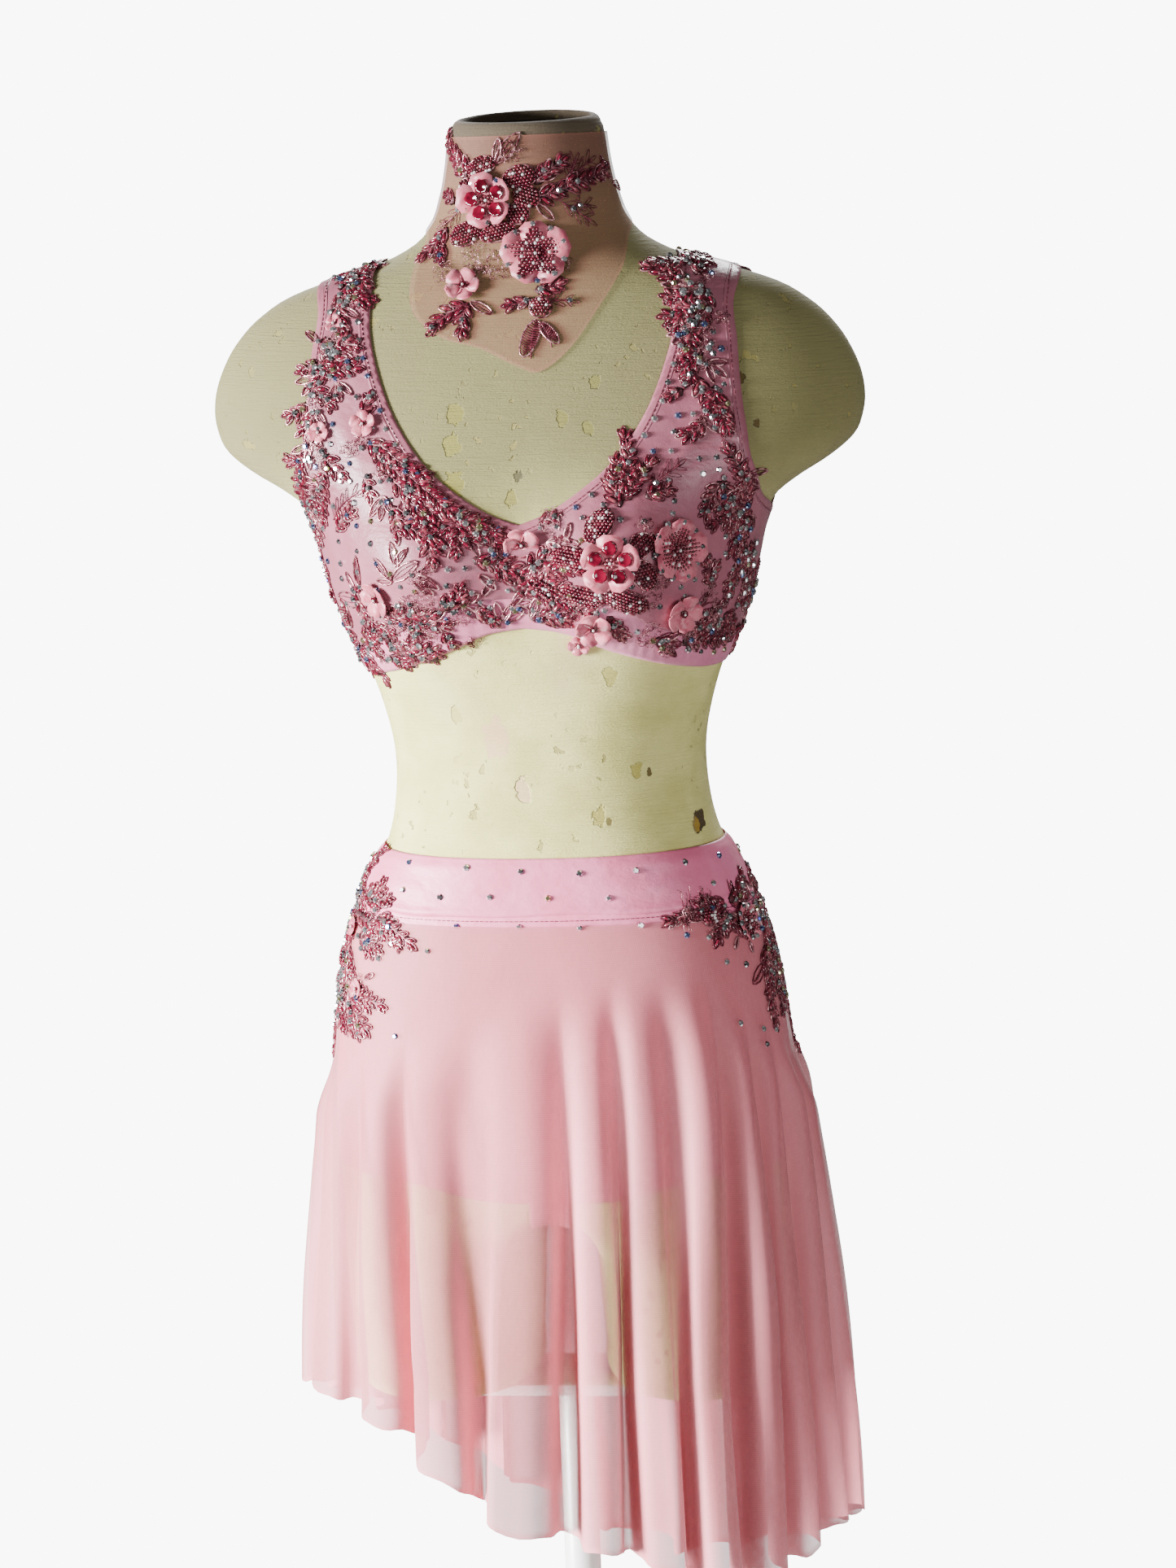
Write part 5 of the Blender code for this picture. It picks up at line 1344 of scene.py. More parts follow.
def made_by(tree, mesh, name, node, inputs):
    """The plain mesh object that a node tree makes of a mesh, riding on the model's one body."""
    made = placed(name, mesh)
    modifier = made.modifiers.new("nodes", "NODES")
    modifier.node_group = tree
    for socket in tree.interface.items_tree:
        if socket.in_out == "INPUT" and socket.name in inputs:
            modifier[socket.identifier] = inputs[socket.name]
    bpy.context.view_layer.update()
    ready = made.evaluated_get(bpy.context.evaluated_depsgraph_get())
    plain = bpy.data.meshes.new_from_object(ready)
    plain.name = name
    made.modifiers.clear()
    made.data = plain
    bpy.data.meshes.remove(mesh)
    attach(made, "root")
    return made


def sown(name, node, kind, spots):
    """Many copies of one small part, each at its own place, turn and size."""
    shape, look = PARTS[kind]
    points, turns, sizes = zip(*spots)
    mesh = new_mesh(name, points)
    facing = mesh.attributes.new("turned", "QUATERNION", "POINT")
    facing.data.foreach_set("value", np.array([tuple(turn) for turn in turns], np.float32).ravel())
    scaled = mesh.attributes.new("size", "FLOAT_VECTOR", "POINT")
    scaled.data.foreach_set("vector", np.array(sizes, np.float32).ravel())
    pattern = placed(shape, SHAPES[shape])
    made = made_by(SOW, mesh, name, node, {"Shape": pattern, "Finish": look.material})
    bpy.data.objects.remove(pattern)
    if shape != "stone":
        made.data.shade_smooth()


def corded(name, node, kind, lines):
    """Many cords of one kind, each along its own line of points."""
    radius, sides, look = CORDS[kind]
    points, edges = [], []
    for line, closed in lines:
        start, count = len(points), len(line)
        points.extend(line)
        edges.extend((start + k, start + k + 1) for k in range(count - 1))
        if closed:
            edges.append((start + count - 1, start))
    mesh = new_mesh(name, points, edges=edges)
    made = made_by(LAY, mesh, name, node, {"Radius": radius, "Sides": sides, "Finish": look.material})
    made.data.shade_smooth()


def drawn(chance, kinds):
    """One of some kinds, each listed with the share of draws that falls to it or to one before it."""
    draw = chance.random()
    return next(kind for kind, share in kinds if draw < share)


def turned_by(angle):
    """A turn in the flat, as a number to multiply flat places by."""
    return complex(math.cos(angle), math.sin(angle))


class Lace:
    """Beaded lace on one area: what lies under it, and the cords and parts gathered for it.

    A flat place on a patch is a complex number in metres: along the patch's heading, and beside it.
    """

    def __init__(self, name, node, cloths, seed):
        self.name, self.node = name, node
        self.chance = np.random.default_rng(seed)
        self.lines, self.spots, self.kept_clear = {}, {}, []
        points, faces = [], []
        for cloth in cloths:
            start = len(points)
            points.extend(vertex.co.copy() for vertex in cloth.data.vertices)
            faces.extend([start + k for k in face.vertices] for face in cloth.data.polygons)
        self.under = BVHTree.FromPolygons(points, faces)

    def patch(self, point, heading=0.0):
        """The cloth at a point: its nearest place, directions along and beside a heading, and outwards."""
        centre, out, _, _ = self.under.find_nearest(Vector(point))
        across = Vector((0, 0, 1)).cross(out).normalized()
        turn = math.radians(heading)
        along = across * math.cos(turn) + out.cross(across) * math.sin(turn)
        return centre, along, out.cross(along), out

    def settle(self, patch, place, rise):
        """A flat place laid down on the cloth and raised, and the direction outwards there."""
        centre, along, beside, out = patch
        flat = centre + along * place.real + beside * place.imag
        near, facing, _, _ = self.under.ray_cast(flat + out * 0.015, -out, 0.030)
        if near is None or facing.dot(out) < 0.3:
            near, facing, _, _ = self.under.find_nearest(flat + out * 0.003)
        return near + facing * rise, facing

    def cord(self, kind, patch, places, rise=0.0005, closed=False):
        line = [self.settle(patch, place, rise)[0] for place in places]
        self.lines.setdefault(kind, []).append((line, closed))

    def part(self, kind, patch, place, turn, size, rise=0.0, tip=0.0):
        point, out = self.settle(patch, place, rise)
        along, beside = patch[1], patch[2]
        ahead = along * math.cos(turn) + beside * math.sin(turn)
        ahead = (ahead - out * ahead.dot(out)).normalized()
        side = out.cross(ahead)
        tipped = ahead * math.cos(tip) + out * math.sin(tip)
        out = out * math.cos(tip) - ahead * math.sin(tip)
        facing = Matrix((tipped, side, out)).transposed().to_quaternion()
        self.spots.setdefault(kind, []).append((point, facing, size))

    def stone(self, patch, place, size=0.0043, rise=0.0):
        kind = drawn(self.chance, STONE_KINDS)
        size = size * self.chance.uniform(0.88, 1.12)
        turn = self.chance.uniform(0, math.pi)
        self.part(kind, patch, place, turn, (size, size, size), rise, self.chance.uniform(-0.12, 0.12))

    def bead(self, patch, place, turn, rise):
        """One seed bead of the filled lobes and flowers: mostly crimson, with a few near-white clear ones
        among them as painted glints.
        """
        self.part(drawn(self.chance, BEAD_KINDS), patch, place, turn, BEAD_SIZE, rise)

    def finish(self):
        for kind, lines in self.lines.items():
            corded(self.name + "_" + kind, self.node, kind, lines)
        for kind, spots in self.spots.items():
            sown(self.name + "_" + kind, self.node, kind, spots)


def outline(length, half, count, sharpness=0.0):
    """A closed outline from a base to a tip and back: an oval, or a leaf where it has some sharpness."""
    return [
        complex(length * (0.5 - 0.5 * math.cos(a)), half * math.sin(a) * abs(math.sin(a)) ** sharpness)
        for a in np.linspace(0, 2 * math.pi, count, endpoint=False)
    ]


def leaf(lace, patch, at, turn, length, kind):
    """One pointed leaf with a corded outline: beaded, threaded or open inside."""
    way = turned_by(turn)
    width, edge = LEAF_KINDS[kind]
    half = width * length / 2
    if kind == "rice" and lace.chance.random() < PALE_LEAVES:
        edge = "pale_cord"
    lace.cord(edge, patch, [at + way * place for place in outline(length, half, 10, 0.35)], closed=True)
    if kind == "rice":
        wide = min(half * 1.25, 0.0030)
        sizes = (length * 0.70, wide, wide)
        lace.part(drawn(lace.chance, RICE_KINDS), patch, at + way * length * 0.48, turn, sizes, 0.0009)
    elif kind == "leaf":
        for k in range(1, round(length / SEED_PITCH)):
            lace.part("crimson_seed", patch, at + way * k * SEED_PITCH, turn, (0.0022,) * 3, 0.0010)
    elif kind == "loop":
        for aside in (-0.35, 0.35):
            lace.cord("thread", patch, [
                at + way * complex(length * share, aside * half * math.sin(math.pi * share))
                for share in (0.12, 0.4, 0.65, 0.9)
            ])


def sprig(lace, patch, length, kind="rice"):
    """A spray of leaves in pairs along a bent stem, a single leaf, a feather, or a rope of small leaves."""
    chance = lace.chance
    if kind in ("loop", "leaf"):
        leaf(lace, patch, 0, 0, length, kind)
        return
    bend = chance.uniform(-STEM_BEND, STEM_BEND)

    def stem(share):
        return length * share * turned_by(bend * share)

    lace.cord("rose_cord", patch, [stem(share) for share in np.linspace(0, 1, 8)])
    if kind == "vane":
        wide = VANE_WIDTH * length
        lace.cord("pale_cord", patch, outline(length, wide, 14), closed=True)
        for share in np.arange(0.06, 0.96, RIB_PITCH / length):
            middle = length * share
            rib = complex(0.0012, wide * math.sin(math.pi * share))
            lace.cord("rose_cord", patch, [middle - rib.conjugate(), middle, middle - rib], 0.0008)
        return
    pairs = max(1, round(length / (0.8 * LEAF_PITCH if kind == "rope" else LEAF_PITCH)))
    leaf_kind = "fine" if kind == "fine" else "rice"
    longest = min(LEAF_LENGTH, 0.36 * length + 0.0035)
    for k in range(pairs):
        share = (k + 0.30) / pairs
        lean = 1.6 * bend * share
        if leaf_kind == "rice":
            # A dark crimson patch under the pair: painted shade between the dense beads
            lace.part("ground", patch, stem(share + 0.3 / pairs), lean, SHADE_PATCH_SIZE, 0.0001)
        for side in (-1, 1):
            size = longest * (1.08 - 0.34 * share) * chance.uniform(*LEAF_SIZES)
            leaf(lace, patch, stem(share), lean + side * chance.uniform(*LEAF_LEAN), size, leaf_kind)
    leaf(lace, patch, stem(1.0) * (1 - 0.4 * longest / length), 1.6 * bend, longest * 0.9, leaf_kind)
    if chance.random() < 0.65:
        lace.stone(patch, stem(chance.uniform(0.1, 0.95)), STONE_SIZE, 0.0014)


def lobe(lace, patch, long, wide):
    """A rounded lobe packed with rows of seed beads inside a corded edge."""
    angles = np.linspace(0, 2 * math.pi, 16, endpoint=False)
    rim = [complex(long * math.cos(a), wide * math.sin(a)) for a in angles]
    lace.cord("pale_cord", patch, rim, closed=True)
    rows = np.arange(-wide, wide, SEED_PITCH * 0.9)
    for number, beside in enumerate(rows):
        for along in np.arange(-long + (number % 2) * SEED_PITCH / 2, long, SEED_PITCH):
            away = (along / long) ** 2 + (beside / wide) ** 2
            if away < 0.92:
                lace.bead(patch, complex(along, beside), 0.0, 0.0008 + 0.0022 * math.sqrt(1 - away))


def bead_disc(lace, patch, radius, petals, start):
    """Rings of seed beads that fill a disc with rounded petals, a little higher at its rim."""
    for ring in range(1, int(radius / SEED_PITCH) + 1):
        away = ring * SEED_PITCH
        around = round(2 * math.pi * away / 0.0025)
        for number in range(around):
            turn = start + 2 * math.pi * number / around
            if away < radius * (0.74 + 0.16 * math.cos(petals * (turn - start))):
                lace.bead(patch, away * turned_by(turn), turn, 0.0020 + 0.0010 * away / radius)


def flower(lace, patch, radius, kind=0):
    """A small satin flower, a large satin one with sequins, or a flower of beads on satin petals."""
    chance = lace.chance
    start = chance.uniform(0, 2 * math.pi)
    for number in range(PETAL_COUNT):
        turn = start + number * 2 * math.pi / PETAL_COUNT
        way = turned_by(turn)
        size = radius * chance.uniform(0.90, 1.04)
        sizes = (size, size * 1.10, size * PETAL_RISES[kind])
        lace.part("petal", patch, way * radius * 0.08, turn, sizes, 0.0008, 0.10)
        if kind == 1:
            cup = radius * 0.52
            lace.part("sequin", patch, way * radius * 0.50, turn, (cup, cup, cup * 0.7), 0.0038, 0.14)
            lace.stone(patch, radius * 0.80 * turned_by(turn + 0.5), 0.0034, 0.0040)
        elif kind == 2:
            lace.stone(patch, radius * 0.90 * turned_by(turn + 0.63), STONE_SIZE, 0.0026)
            lace.stone(patch, way * radius * 0.92, 0.0040, 0.0040)
    if kind == 2:
        bead_disc(lace, patch, radius, PETAL_COUNT, start)
    if kind == 0:
        lace.part("sequin", patch, 0j, start, (radius * 0.42,) * 3, 0.0018)
        lace.part("clear_seed", patch, 0j, start, (0.0020,) * 3, 0.0018 + radius * 0.16)
        return
    for number in range(7):
        place = 0.0026 * turned_by(start + number * math.pi / 3) if number else 0j
        lace.part("rose_seed" if number else "clear_seed", patch, place, 0.0, (0.0025,) * 3, 0.0036)


def fuzz(lace, patch, radius):
    """A patch of loose curls of fine metallic thread."""
    chance = lace.chance
    for _ in range(round(radius * FUZZ_CURLS)):
        middle = radius * math.sqrt(chance.random()) * turned_by(chance.uniform(0, ALL_ROUND))
        size, start = chance.uniform(*CURL_SIZES), chance.uniform(0, ALL_ROUND)
        rise = chance.uniform(*CURL_RISES)
        curl = [middle + size * turned_by(start + step) for step in (0, 0.8, 1.6, 2.4)]
        lace.cord("fuzz", patch, curl, rise)


def fill_band(lace, spot, row):
    """Fills a straight band with short sprays that lean along it, stones and a little loose thread."""
    across0, z0, across1, z1, half, pitch = row
    chance = lace.chance
    start, end = spot(across0, z0), spot(across1, z1)
    _, ahead, _, out = facing_patch(lace, start, end - start)
    level = Vector((0, 0, 1)).cross(out).normalized()
    rise = math.degrees(math.atan2(ahead.z, level.dot(ahead)))
    count = round(float(np.linalg.norm(end - start)) * 2 * half / pitch**2)
    for step in range(count):
        share = (step + 0.5) / count
        place = spot(across0 + (across1 - across0) * share, z0 + (z1 - z0) * share)
        heading = rise + chance.uniform(-75, 75)
        aside = complex(chance.uniform(*BAND_STRAY), chance.uniform(-half, half))
        base = lace.patch(place, rise)
        centre = lace.settle(base, aside, 0.0)[0]
        if any((centre - middle).length < reach for middle, reach in lace.kept_clear):
            continue
        patch = lace.patch(centre, heading)
        kind = drawn(chance, BAND_KINDS)
        if kind == "spray":
            sprig(lace, patch, chance.uniform(*SHORT_SPRAY))
        elif kind == "loops":
            for lean in (-0.7, -0.1, 0.6):
                leaf(lace, patch, 0j, lean, chance.uniform(*SHORT_LOOP), "loop")
        else:
            fuzz(lace, patch, BAND_FUZZ)
        place = complex(chance.uniform(*STONE_STRAY), chance.uniform(*STONE_STRAY))
        lace.stone(patch, place, STONE_SIZE, 0.0016)


def facing_patch(lace, place, ahead):
    """A patch whose heading follows a direction in space."""
    centre, *_, out = lace.patch(place)
    ahead = Vector(ahead)
    ahead = (ahead - out * ahead.dot(out)).normalized()
    return centre, ahead, out.cross(ahead), out


def sew_on(lace, spot, sprays, lobes, flowers, fuzzes, bands=()):
    """Lays out one area of lace. Spot gives the point of a table's first two columns."""
    for across, z, radius, *_ in (*lobes, *flowers):
        lace.kept_clear.append((lace.patch(spot(across, z))[0], radius * 0.9 + 0.003))
    for row in bands:
        fill_band(lace, spot, row)
    for across, z, heading, length, *kind in sprays:
        sprig(lace, lace.patch(spot(across, z), heading), length, *kind)
    for across, z, long, wide, heading in lobes:
        lobe(lace, lace.patch(spot(across, z), heading), long, wide)
    for across, z, radius in fuzzes:
        fuzz(lace, lace.patch(spot(across, z)), radius)
    for across, z, radius, *kind in flowers:
        flower(lace, lace.patch(spot(across, z)), radius, *kind)


def seen_spot(x, z):
    """The point of the form's front at a place seen from the front."""
    return seen_points([(x, z)])[0]


NECK_CLOTHS = [bpy.data.objects["mesh_collar"], bpy.data.objects["torso"]]
NECK_LACE = Lace("neck", "neck_piece", NECK_CLOTHS, 11)
sew_on(NECK_LACE, seen_spot, NECK_SPRAYS, NECK_LOBES, NECK_FLOWERS, NECK_FUZZ)
NECK_LACE.finish()

# Beaded lace on the top
# The same lace on both straps and over the lower half of the front, where it hides the gathers.
# The seams of the satin run under it, and some leaves reach past the armholes and the hem.
TOP_SPRAYS_LEFT = from_mm((0, 1, 3), (
    (-137, 1108, 145, 15, "loop"), (-141, 1053, -150, 9, "loop"), (-106, 1060, 60, 15),
    (-101, 1045, -40, 22), (-93, 1043, -45, 42), (-89, 1032, -40, 40), (-77, 1026, -40, 39),
    (-67, 1017, -35, 40), (-53, 1002, -25, 33), (-41, 994, -20, 34), (-83, 1019, -35, 36),
    (-68, 1008, -35, 36), (-78, 991, -15, 33), (-68, 984, -10, 35), (-48, 980, -5, 30),
    (-79, 963, 110, 18, "loop"), (-86, 957, 135, 17, "loop"), (-81, 965, 50, 15, "loop"),
    (-84, 955, 30, 25, "loop"), (-84, 954, -180, 14, "loop"), (-110, 949, 85, 21, "loop"),
    (-113, 944, 120, 16, "loop"), (-66, 961, 15, 14, "loop"), (-65, 959, -40, 16, "loop"),
    (-69, 955, -40, 16, "loop"), (-112, 938, 180, 33, "loop"), (-128, 992, 45, 34, "fine"),
    (-126, 985, 45, 24), (-30, 968, -15, 27), (-15, 965, -20, 32), (-27, 958, -45, 15, "loop"),
    (-26, 944, 55, 14, "loop"), (3, 947, 15, 27), (-5, 949, -15, 18), (15, 959, 5, 27),
    (18, 949, -10, 24), (14, 989, 30, 13), (20, 976, 0, 22, "loop"), (32, 978, 75, 12, "loop"),
))
TOP_SPRAYS_RIGHT = from_mm((0, 1, 3), (
    (114, 1143, 55, 48), (106, 1071, -150, 11), (108, 1071, 85, 10), (123, 1063, -60, 22),
    (69, 1003, 70, 45), (65, 1005, 80, 26), (71, 1003, 60, 31), (61, 1010, 75, 14), (67, 999, 110, 19),
    (85, 1009, 35, 27, "fine"), (84, 1004, 30, 17), (143, 988, 125, 54), (134, 955, -90, 28),
    (146, 953, -95, 16, "leaf"), (146, 951, -90, 22, "leaf"), (143, 948, -45, 19, "leaf"),
    (120, 942, 125, 21), (116, 943, 70, 16), (27, 981, -25, 10, "loop"), (12, 964, 10, 29),
    (6, 959, 45, 21), (20, 941, -10, 28, "rope"), (10, 931, -20, 20, "rope"), (56, 928, -55, 19),
    (60, 914, 75, 14, "loop"), (110, 929, 50, 13, "leaf"), (110, 927, 0, 22, "leaf"),
    (108, 921, -15, 18, "leaf"), (102, 910, -20, 77), (92, 964, 110, 19, "loop"),
))
TOP_LOBES = from_mm((0, 1, 2, 3), (
    (-125, 926, 10, 6, 60), (-139, 937, 6, 4, 80), (54, 987, 13, 8.5, 60), (35, 967, 13, 8.5, 170),
    (81, 955, 12, 8, -50), (69, 938, 16, 8.5, -25), (42, 942, 15, 7.5, -15), (80, 974, 9, 7.5, 40),
    (17, 947, 10, 5, 150),
))
TOP_FLOWERS = from_mm((0, 1, 2), (
    (-97, 942, 12), (-104, 1055, 9), (-135, 1050, 7), (-140, 912, 7.5), (-126, 1119, 6), (2, 977, 12),
    (35, 907, 6.5), (61, 964, 19, 1), (101, 969, 20, 2), (46, 921, 12), (101, 927, 13), (35, 908, 7),
))
TOP_FUZZ = from_mm((0, 1, 2), (
    (-114, 1040, 7), (-140, 1044, 6), (-155, 991, 8), (-150, 967, 7), (-65, 957, 8), (-85, 930, 10),
    (-107, 912, 8), (-64, 941, 8), (-44, 931, 8), (-135, 1026, 5), (-140, 956, 5), (-75, 939, 8),
    (-35, 912, 5), (-104, 1045, 6), (-125, 899, 6), (-62, 921, 7), (23, 991, 9), (81, 939, 9),
    (81, 914, 9), (91, 950, 6), (33, 931, 6), (82, 987, 5), (118, 940, 6), (134, 993, 5), (102, 914, 6),
    (132, 1115, 5), (122, 1110, 5), (136, 967, 6),
))
# Bands filled with short sprays: x and height of both ends, half width, pitch
TOP_BANDS = from_mm((0, 1, 2, 3, 4, 5), (
    (-121, 1152, -127, 1098, 17, 8.2), (-130, 1100, -136, 1045, 12, 8.8),
    (-138, 1045, -150, 985, 12, 9), (-152, 985, -142, 915, 20, 9.4), (-138, 905, -70, 915, 17, 12),
    (-120, 940, -45, 930, 12, 12.5), (-101, 1027, -57, 987, 8, 11.5), (-45, 985, 20, 968, 12, 12),
    (-50, 930, 60, 938, 8, 12), (35, 955, 92, 945, 14, 11.5), (85, 912, 140, 920, 12, 10.8),
    (134, 1018, 142, 925, 14, 10), (110, 1154, 117, 1095, 16, 8.8), (120, 1098, 126, 1050, 9, 9.8),
))
TOP_CLOTHS = [bpy.data.objects[name] for name in (
    "satin_top_front", "satin_top_back", "elastic_front", "elastic_back", "torso",
)]
TOP_LACE = Lace("top", "top_front", TOP_CLOTHS, 23)
sew_on(TOP_LACE, seen_spot, TOP_SPRAYS_LEFT + TOP_SPRAYS_RIGHT, TOP_LOBES, TOP_FLOWERS, TOP_FUZZ, TOP_BANDS)
TOP_LACE.finish()

# Beaded lace on the back of the top
# Not seen in the photograph: a plainer spray on each side, of the same leaves and flowers.
BACK_SPRAYS = from_mm((0, 1, 3), (
    (-122, 1086, 86, 40), (-126, 984, 96, 40), (-104, 950, 10, 36), (-128, 1040, 80, 34),
    (-112, 978, 60, 26, "loop"), (-100, 972, 150, 24, "loop"),
))
BACK_FLOWERS = from_mm((0, 1, 2), ((-112, 962, 18), (-124, 1064, 11)))
BACK_LOBES = from_mm((0, 1, 2, 3), (
    (-122, 944, 10, 6, 40),
))
BACK_FUZZ = from_mm((0, 1, 2), ((-118, 975, 9), (-126, 1074, 7)))


def back_spot(x, z):
    """The point of the form's back at a place seen from the front."""
    return seen_points([(x, z)], 1)[0]


def mirrored(rows, heading=None):
    """Rows of places with their mirror images, and their headings mirrored where they have one."""
    made = list(rows)
    for row in rows:
        other = [-row[0], *row[1:]]
        if heading is not None:
            other[heading] = 180 - row[heading]
        made.append(tuple(other))
    return made


BACK_LACE = Lace("back", "top_back", TOP_CLOTHS, 31)
BACK_ROWS = (mirrored(BACK_SPRAYS, 2), mirrored(BACK_LOBES, 4), mirrored(BACK_FLOWERS), mirrored(BACK_FUZZ))
sew_on(BACK_LACE, back_spot, *BACK_ROWS)
BACK_LACE.finish()

# Beaded lace on the hips
# One spray runs down each hip from the waistband onto the skirt. Places are turns from centre front
# in degrees.
HIP_SPRAYS = from_mm((1, 3), (
    (-84, 737, 50, 42), (-84, 729, 90, 20), (-84, 712, 90, 25), (-75, 719, 0, 79), (-63, 727, 20, 24),
    (-54, 719, -5, 36), (-56, 715, -90, 15, "loop"), (-54, 714, -60, 10, "loop"),
    (-55, 711, 10, 13, "loop"), (-71, 695, -55, 21, "rope"), (-58, 664, 5, 26), (-60, 656, -25, 22),
    (-54, 678, 25, 10, "loop"), (-82, 650, -90, 30), (-74, 648, -15, 21, "fine"), (-83, 699, -85, 9),
    (61, 723, 170, 45), (57, 720, 140, 17), (49, 718, 170, 18, "vane"), (60, 719, -130, 22),
    (92, 714, 65, 27), (98, 707, 85, 14), (85, 701, 0, 29), (98, 702, -95, 39), (97, 681, -90, 75),
    (78, 691, -105, 54), (88, 681, -60, 42), (73, 680, -145, 19, "leaf"), (66, 725, 85, 9, "leaf"),
    (61, 702, -120, 9, "loop"), (67, 697, -80, 8, "loop"), (95, 666, -45, 11, "leaf"),
))
HIP_LOBES = from_mm((1, 2, 3), ((-83, 686, 8, 5, 85), (-82, 669, 7.5, 5, 85), (51, 718, 7.5, 5.5, 0)))
HIP_FLOWERS = from_mm((1, 2), ((-58, 670, 6.5), (-71, 709, 6.5), (70, 710, 12.5, 2)))
HIP_FUZZ = from_mm((1, 2), (
    (-84, 708, 6.5), (-72, 651, 5.5), (-84, 720, 6.5), (-58, 725, 5.5), (-58, 676, 4.5), (50, 730, 6.5),
    (42, 725, 5.5), (50, 709, 5.5), (62, 715, 4.5), (92, 690, 4.5),
))
# Bands filled with short sprays: turn and height of both ends, half width, pitch
HIP_BANDS = from_mm((1, 3, 4, 5), (
    (-84, 755, -79, 650, 18, 9), (-76, 724, -52, 706, 13, 9.4), (-76, 668, -58, 652, 12, 9.6),
    (48, 721, 84, 716, 12, 11.2), (84, 740, 92, 650, 11, 11), (74, 700, 82, 655, 8, 11.5),
))


def turned_spot(degrees, z):
    """The point of the form at a turn from centre front and a height, a little outside it."""
    return section_point(np.radians([float(degrees)]), np.array([z]))[0] * (1.03, 1.03, 1.0)


HIP_CLOTHS = [bpy.data.objects[name] for name in (
    "satin_waist_front", "satin_waist_back", "mesh_skirt_front", "mesh_skirt_back",
)]
HIP_LACE = Lace("hips", "waistband_front", HIP_CLOTHS, 47)
sew_on(HIP_LACE, turned_spot, HIP_SPRAYS, HIP_LOBES, HIP_FLOWERS, HIP_FUZZ, HIP_BANDS)
HIP_LACE.finish()

# Topstitching
# Straight stitches in rose thread hold the turned edges of the neckline and armholes and the
# waistband's tuck. The skirt's hem and the neck piece are cut raw.
STITCH, STITCH_PITCH, STITCH_INSET = 0.0022, 0.0034, 0.0049


def spaced(line, pitch):
    """Points and headings at even steps along a line of points."""
    length = lengths(line)
    for here in np.arange(pitch / 2, length[-1], pitch):
        place = np.array([np.interp(here, length, line[:, k]) for k in range(3)])
        ahead = np.array([np.interp(here + 0.001, length, line[:, k]) for k in range(3)])
        yield place, ahead - place


def stitch(lace, line, aside):
    """A row of stitches beside a line."""
    for place, ahead in spaced(line, STITCH_PITCH):
        patch = facing_patch(lace, place, ahead)
        lace.cord("thread", patch, [complex(0, aside), complex(STITCH, aside)], 0.0002)


def stitch_edges():
    for name, side in (("top_front", -1), ("top_back", 1)):
        sewn_edges = Lace(name + "_stitches", name, TOP_CLOTHS[:2], 3)
        neck_line, arm = TOP_EDGES[name]
        stitch(sewn_edges, neck_line, side * STITCH_INSET)
        stitch(sewn_edges, arm, side * STITCH_INSET)
        stitch(sewn_edges, arm * (-1, 1, 1), -side * STITCH_INSET)
        sewn_edges.finish()
    for ending, middle in (("front", 0.0), ("back", math.pi)):
        tuck = Lace("tuck_stitches_" + ending, "waistband_" + ending, HIP_CLOTHS[:2], 3)
        turns = middle + np.linspace(-0.49, 0.49, 120) * math.pi
        stitch(tuck, section_point(turns, np.full(120, TUCK_Z - 0.0030)) * (1.02, 1.02, 1.0), 0.0)
        tuck.finish()


stitch_edges()

# Rhinestones
# Faceted glass stones with foiled flat backs, glued one by one: a row inside the neckline and along
# the hem of the top, loose ones over the satin, and rows on the waistband and hips.
# Stones of the waistband and hips: turn from centre front in degrees, height
WAIST_STONES = from_mm((1,), (
    (-46, 758), (-21, 757), (-4, 755), (11, 753), (29, 753), (49, 755), (69, 755), (93, 751),
    (-44, 740), (-28, 737), (-12, 738), (2, 737), (18, 736), (58, 739), (80, 738), (-21, 718),
    (-4, 718), (9, 717), (26, 717), (40, 708), (48, 705), (53, 687), (62, 683), (53, 645), (64, 638),
    (73, 635), (63, 627), (-29, 701), (-43, 704), (-48, 693), (-55, 640), (-38, 642),
))
STONE_PITCH = 0.0125
ROW_INSET, ROW_WANDER = 0.0072, 0.001
# The row along the top's hem: turn at its ends in degrees, pitch, how low it runs, wander
HEM_ROW_END, HEM_ROW_PITCH, HEM_ROW_DROP, HEM_ROW_WANDER = 80, STONE_PITCH * 1.15, 0.007, 0.002
# Loose stones over the satin, across and up: first, last, step, and how far each one strays
LOOSE_ACROSS, LOOSE_UP = (-0.140, 0.141, 0.0150), (0.935, 1.130, 0.0135)
STRAY_ACROSS, STRAY_UP = 0.005, 0.004
# They keep off the edges and out of an oval round the neckline: half width, middle, half height
EDGE_CLEARANCE, CLOTH_REACH, BARE_OVAL = 0.010, 0.0035, (0.098, 1.14, 0.145)
# Round the back of the waistband: turns, then the shift and height of both rows
WAIST_BACK_TURNS, WAIST_BACK_ROWS = (100, 260, 13), ((0, 0.752), (6.5, 0.737))


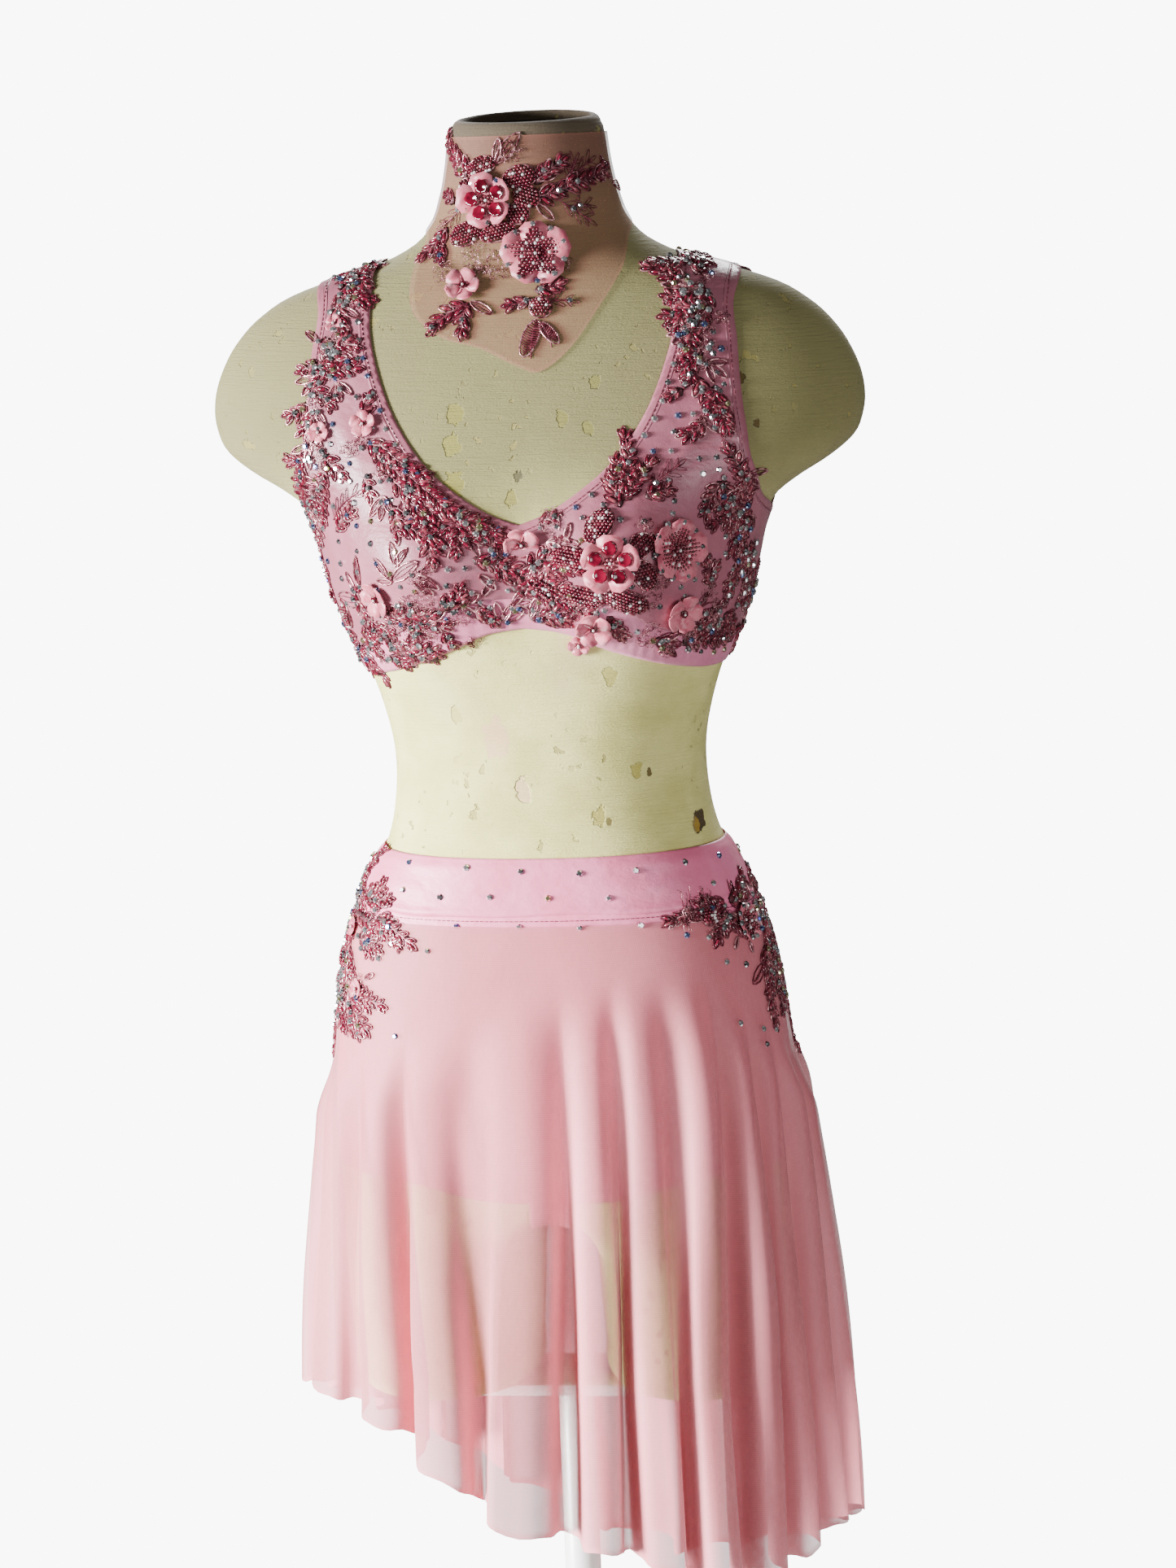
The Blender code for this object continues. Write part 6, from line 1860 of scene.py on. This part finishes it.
def glue_stones():
    top = Lace("top_glued", "top_front", TOP_CLOTHS[:4], 5)
    neck_line, arm = TOP_EDGES["top_front"]
    for place, ahead in spaced(neck_line, STONE_PITCH):
        inset = ROW_INSET + top.chance.uniform(-ROW_WANDER, ROW_WANDER)
        top.stone(facing_patch(top, place, ahead), complex(0, -inset))
    turns = np.radians(np.linspace(-HEM_ROW_END, HEM_ROW_END, 200))
    hem = section_point(turns, hem_height(turns, 1) - HEM_ROW_DROP)
    for place, ahead in spaced(hem, HEM_ROW_PITCH):
        top.stone(top.patch(place), complex(0, top.chance.uniform(-HEM_ROW_WANDER, HEM_ROW_WANDER)))
    edges = [neck_line, arm, arm * (-1, 1, 1)]
    half_width, middle, half_height = BARE_OVAL
    for z in np.arange(*LOOSE_UP):
        for x in np.arange(*LOOSE_ACROSS):
            across = x + top.chance.uniform(-STRAY_ACROSS, STRAY_ACROSS)
            place = seen_spot(across, z + top.chance.uniform(-STRAY_UP, STRAY_UP))
            clear = min(distance_to_line(place[None], line)[0] for line in edges)
            beyond = (x / half_width) ** 2 + ((z - middle) / half_height) ** 2
            on_cloth = top.under.find_nearest(Vector(place))[3] < CLOTH_REACH
            if clear > EDGE_CLEARANCE and beyond > 1.05 and on_cloth:
                top.stone(top.patch(place), 0j)
    top.finish()
    waist = Lace("waist_glued", "waistband_front", HIP_CLOTHS, 9)
    for turn, z in WAIST_STONES:
        waist.stone(waist.patch(turned_spot(turn, z)), 0j)
    for turn in range(*WAIST_BACK_TURNS):
        for aside, z in WAIST_BACK_ROWS:
            waist.stone(waist.patch(turned_spot(turn + aside, z)), 0j)
    waist.finish()


glue_stones()

# Floor, light and camera
# A round pale floor under the stand, one large soft light from the front left, weak ones from the
# right and from behind, and white all round, which the camera sees but which gives little light.
CAMERA_AIM = (0.0245, 0.0, 0.800)
CAMERA_DISTANCE, CAMERA_LENS = 3.0, 100.9
CAMERA_AZIMUTH, CAMERA_HEIGHT, CAMERA_ROLL = 8.0, 9.0, 2.2
FLOOR_RADIUS = 0.66
# Name, place, where it aims, width, power, spread in degrees
LAMPS = (
    ("key", (-3.15, -1.55, 0.6), (0, 0, 0.3), 1.6, 80, 36),
    ("fill", (1.9, -2.4, 0.25), (0, 0, 0.35), 1.5, 8.0, 60),
    ("rear", (0, 3.2, 3.0), (0, 0, 0.7), 1.4, 16, 50),
)
# Colour and strength of the white behind, of the white seen through cloth, and of the room's own light
WHITE_BEHIND = ((1.0, 1.0, 1.0), 9.0)
WHITE_THROUGH_CLOTH = ((1.0, 1.0, 1.0), 2.2)
LIGHT_BEHIND = ((1.0, 0.97, 0.93), 0.14)


def build_floor():
    look = Look("pale_floor", (0.84, 0.84, 0.84), 0.9)
    form = bmesh.new()
    bmesh.ops.create_circle(form, cap_ends=True, segments=128, radius=FLOOR_RADIUS)
    mesh = bpy.data.meshes.new("floor")
    form.to_mesh(mesh)
    form.free()
    mesh.materials.append(look.material)
    placed("floor", mesh)


def add_light(name, place, aim, size, power, spread):
    lamp = bpy.data.lights.new(name, "AREA")
    lamp.size = size
    lamp.energy = power
    lamp.spread = math.radians(spread)
    made = placed(name, lamp)
    made.location = place
    made.rotation_euler = (Vector(aim) - Vector(place)).to_track_quat("-Z", "Y").to_euler()


def build_light():
    for lamp in LAMPS:
        add_light(*lamp)
    world = bpy.context.scene.world or bpy.data.worlds.new("room")
    bpy.context.scene.world = world
    world.use_nodes = True
    tree = world.node_tree
    ray = add_node(tree, "ShaderNodeLightPath").outputs
    layers = ray["Transparent Depth"]
    through = add_node(tree, "ShaderNodeMath", {0: layers, 1: 0.5}, operation="GREATER_THAN")
    tones = [tree.nodes["Background"], *(add_node(tree, "ShaderNodeBackground") for _ in range(2))]
    for tone, (colour, strength) in zip(tones, (WHITE_BEHIND, WHITE_THROUGH_CLOTH, LIGHT_BEHIND)):
        tone.inputs["Color"].default_value = (*colour, 1)
        tone.inputs["Strength"].default_value = strength
    behind, within, light = (tone.outputs[0] for tone in tones)
    seen = add_node(tree, "ShaderNodeMixShader", {0: through.outputs[0], 1: behind, 2: within}).outputs[0]
    chosen = add_node(tree, "ShaderNodeMixShader", {0: ray["Is Camera Ray"], 1: light, 2: seen}).outputs[0]
    tree.links.new(chosen, tree.nodes["World Output"].inputs["Surface"])


def build_camera():
    turn, rise, roll = (math.radians(v) for v in (CAMERA_AZIMUTH, CAMERA_HEIGHT, CAMERA_ROLL))
    back = Vector((math.sin(turn) * math.cos(rise), -math.cos(turn) * math.cos(rise), math.sin(rise)))
    right = Vector((math.cos(turn), math.sin(turn), 0))
    up = back.cross(right)
    tilted_right = right * math.cos(roll) - up * math.sin(roll)
    tilted_up = right * math.sin(roll) + up * math.cos(roll)
    camera = placed("camera", bpy.data.cameras.new("camera"))
    camera.data.lens = CAMERA_LENS
    camera.data.sensor_width = 36.0
    place = Matrix((tilted_right, tilted_up, back)).transposed().to_4x4()
    place.translation = Vector(CAMERA_AIM) + back * CAMERA_DISTANCE
    camera.matrix_world = place
    bpy.context.scene.camera = camera


build_floor()
build_light()
build_camera()
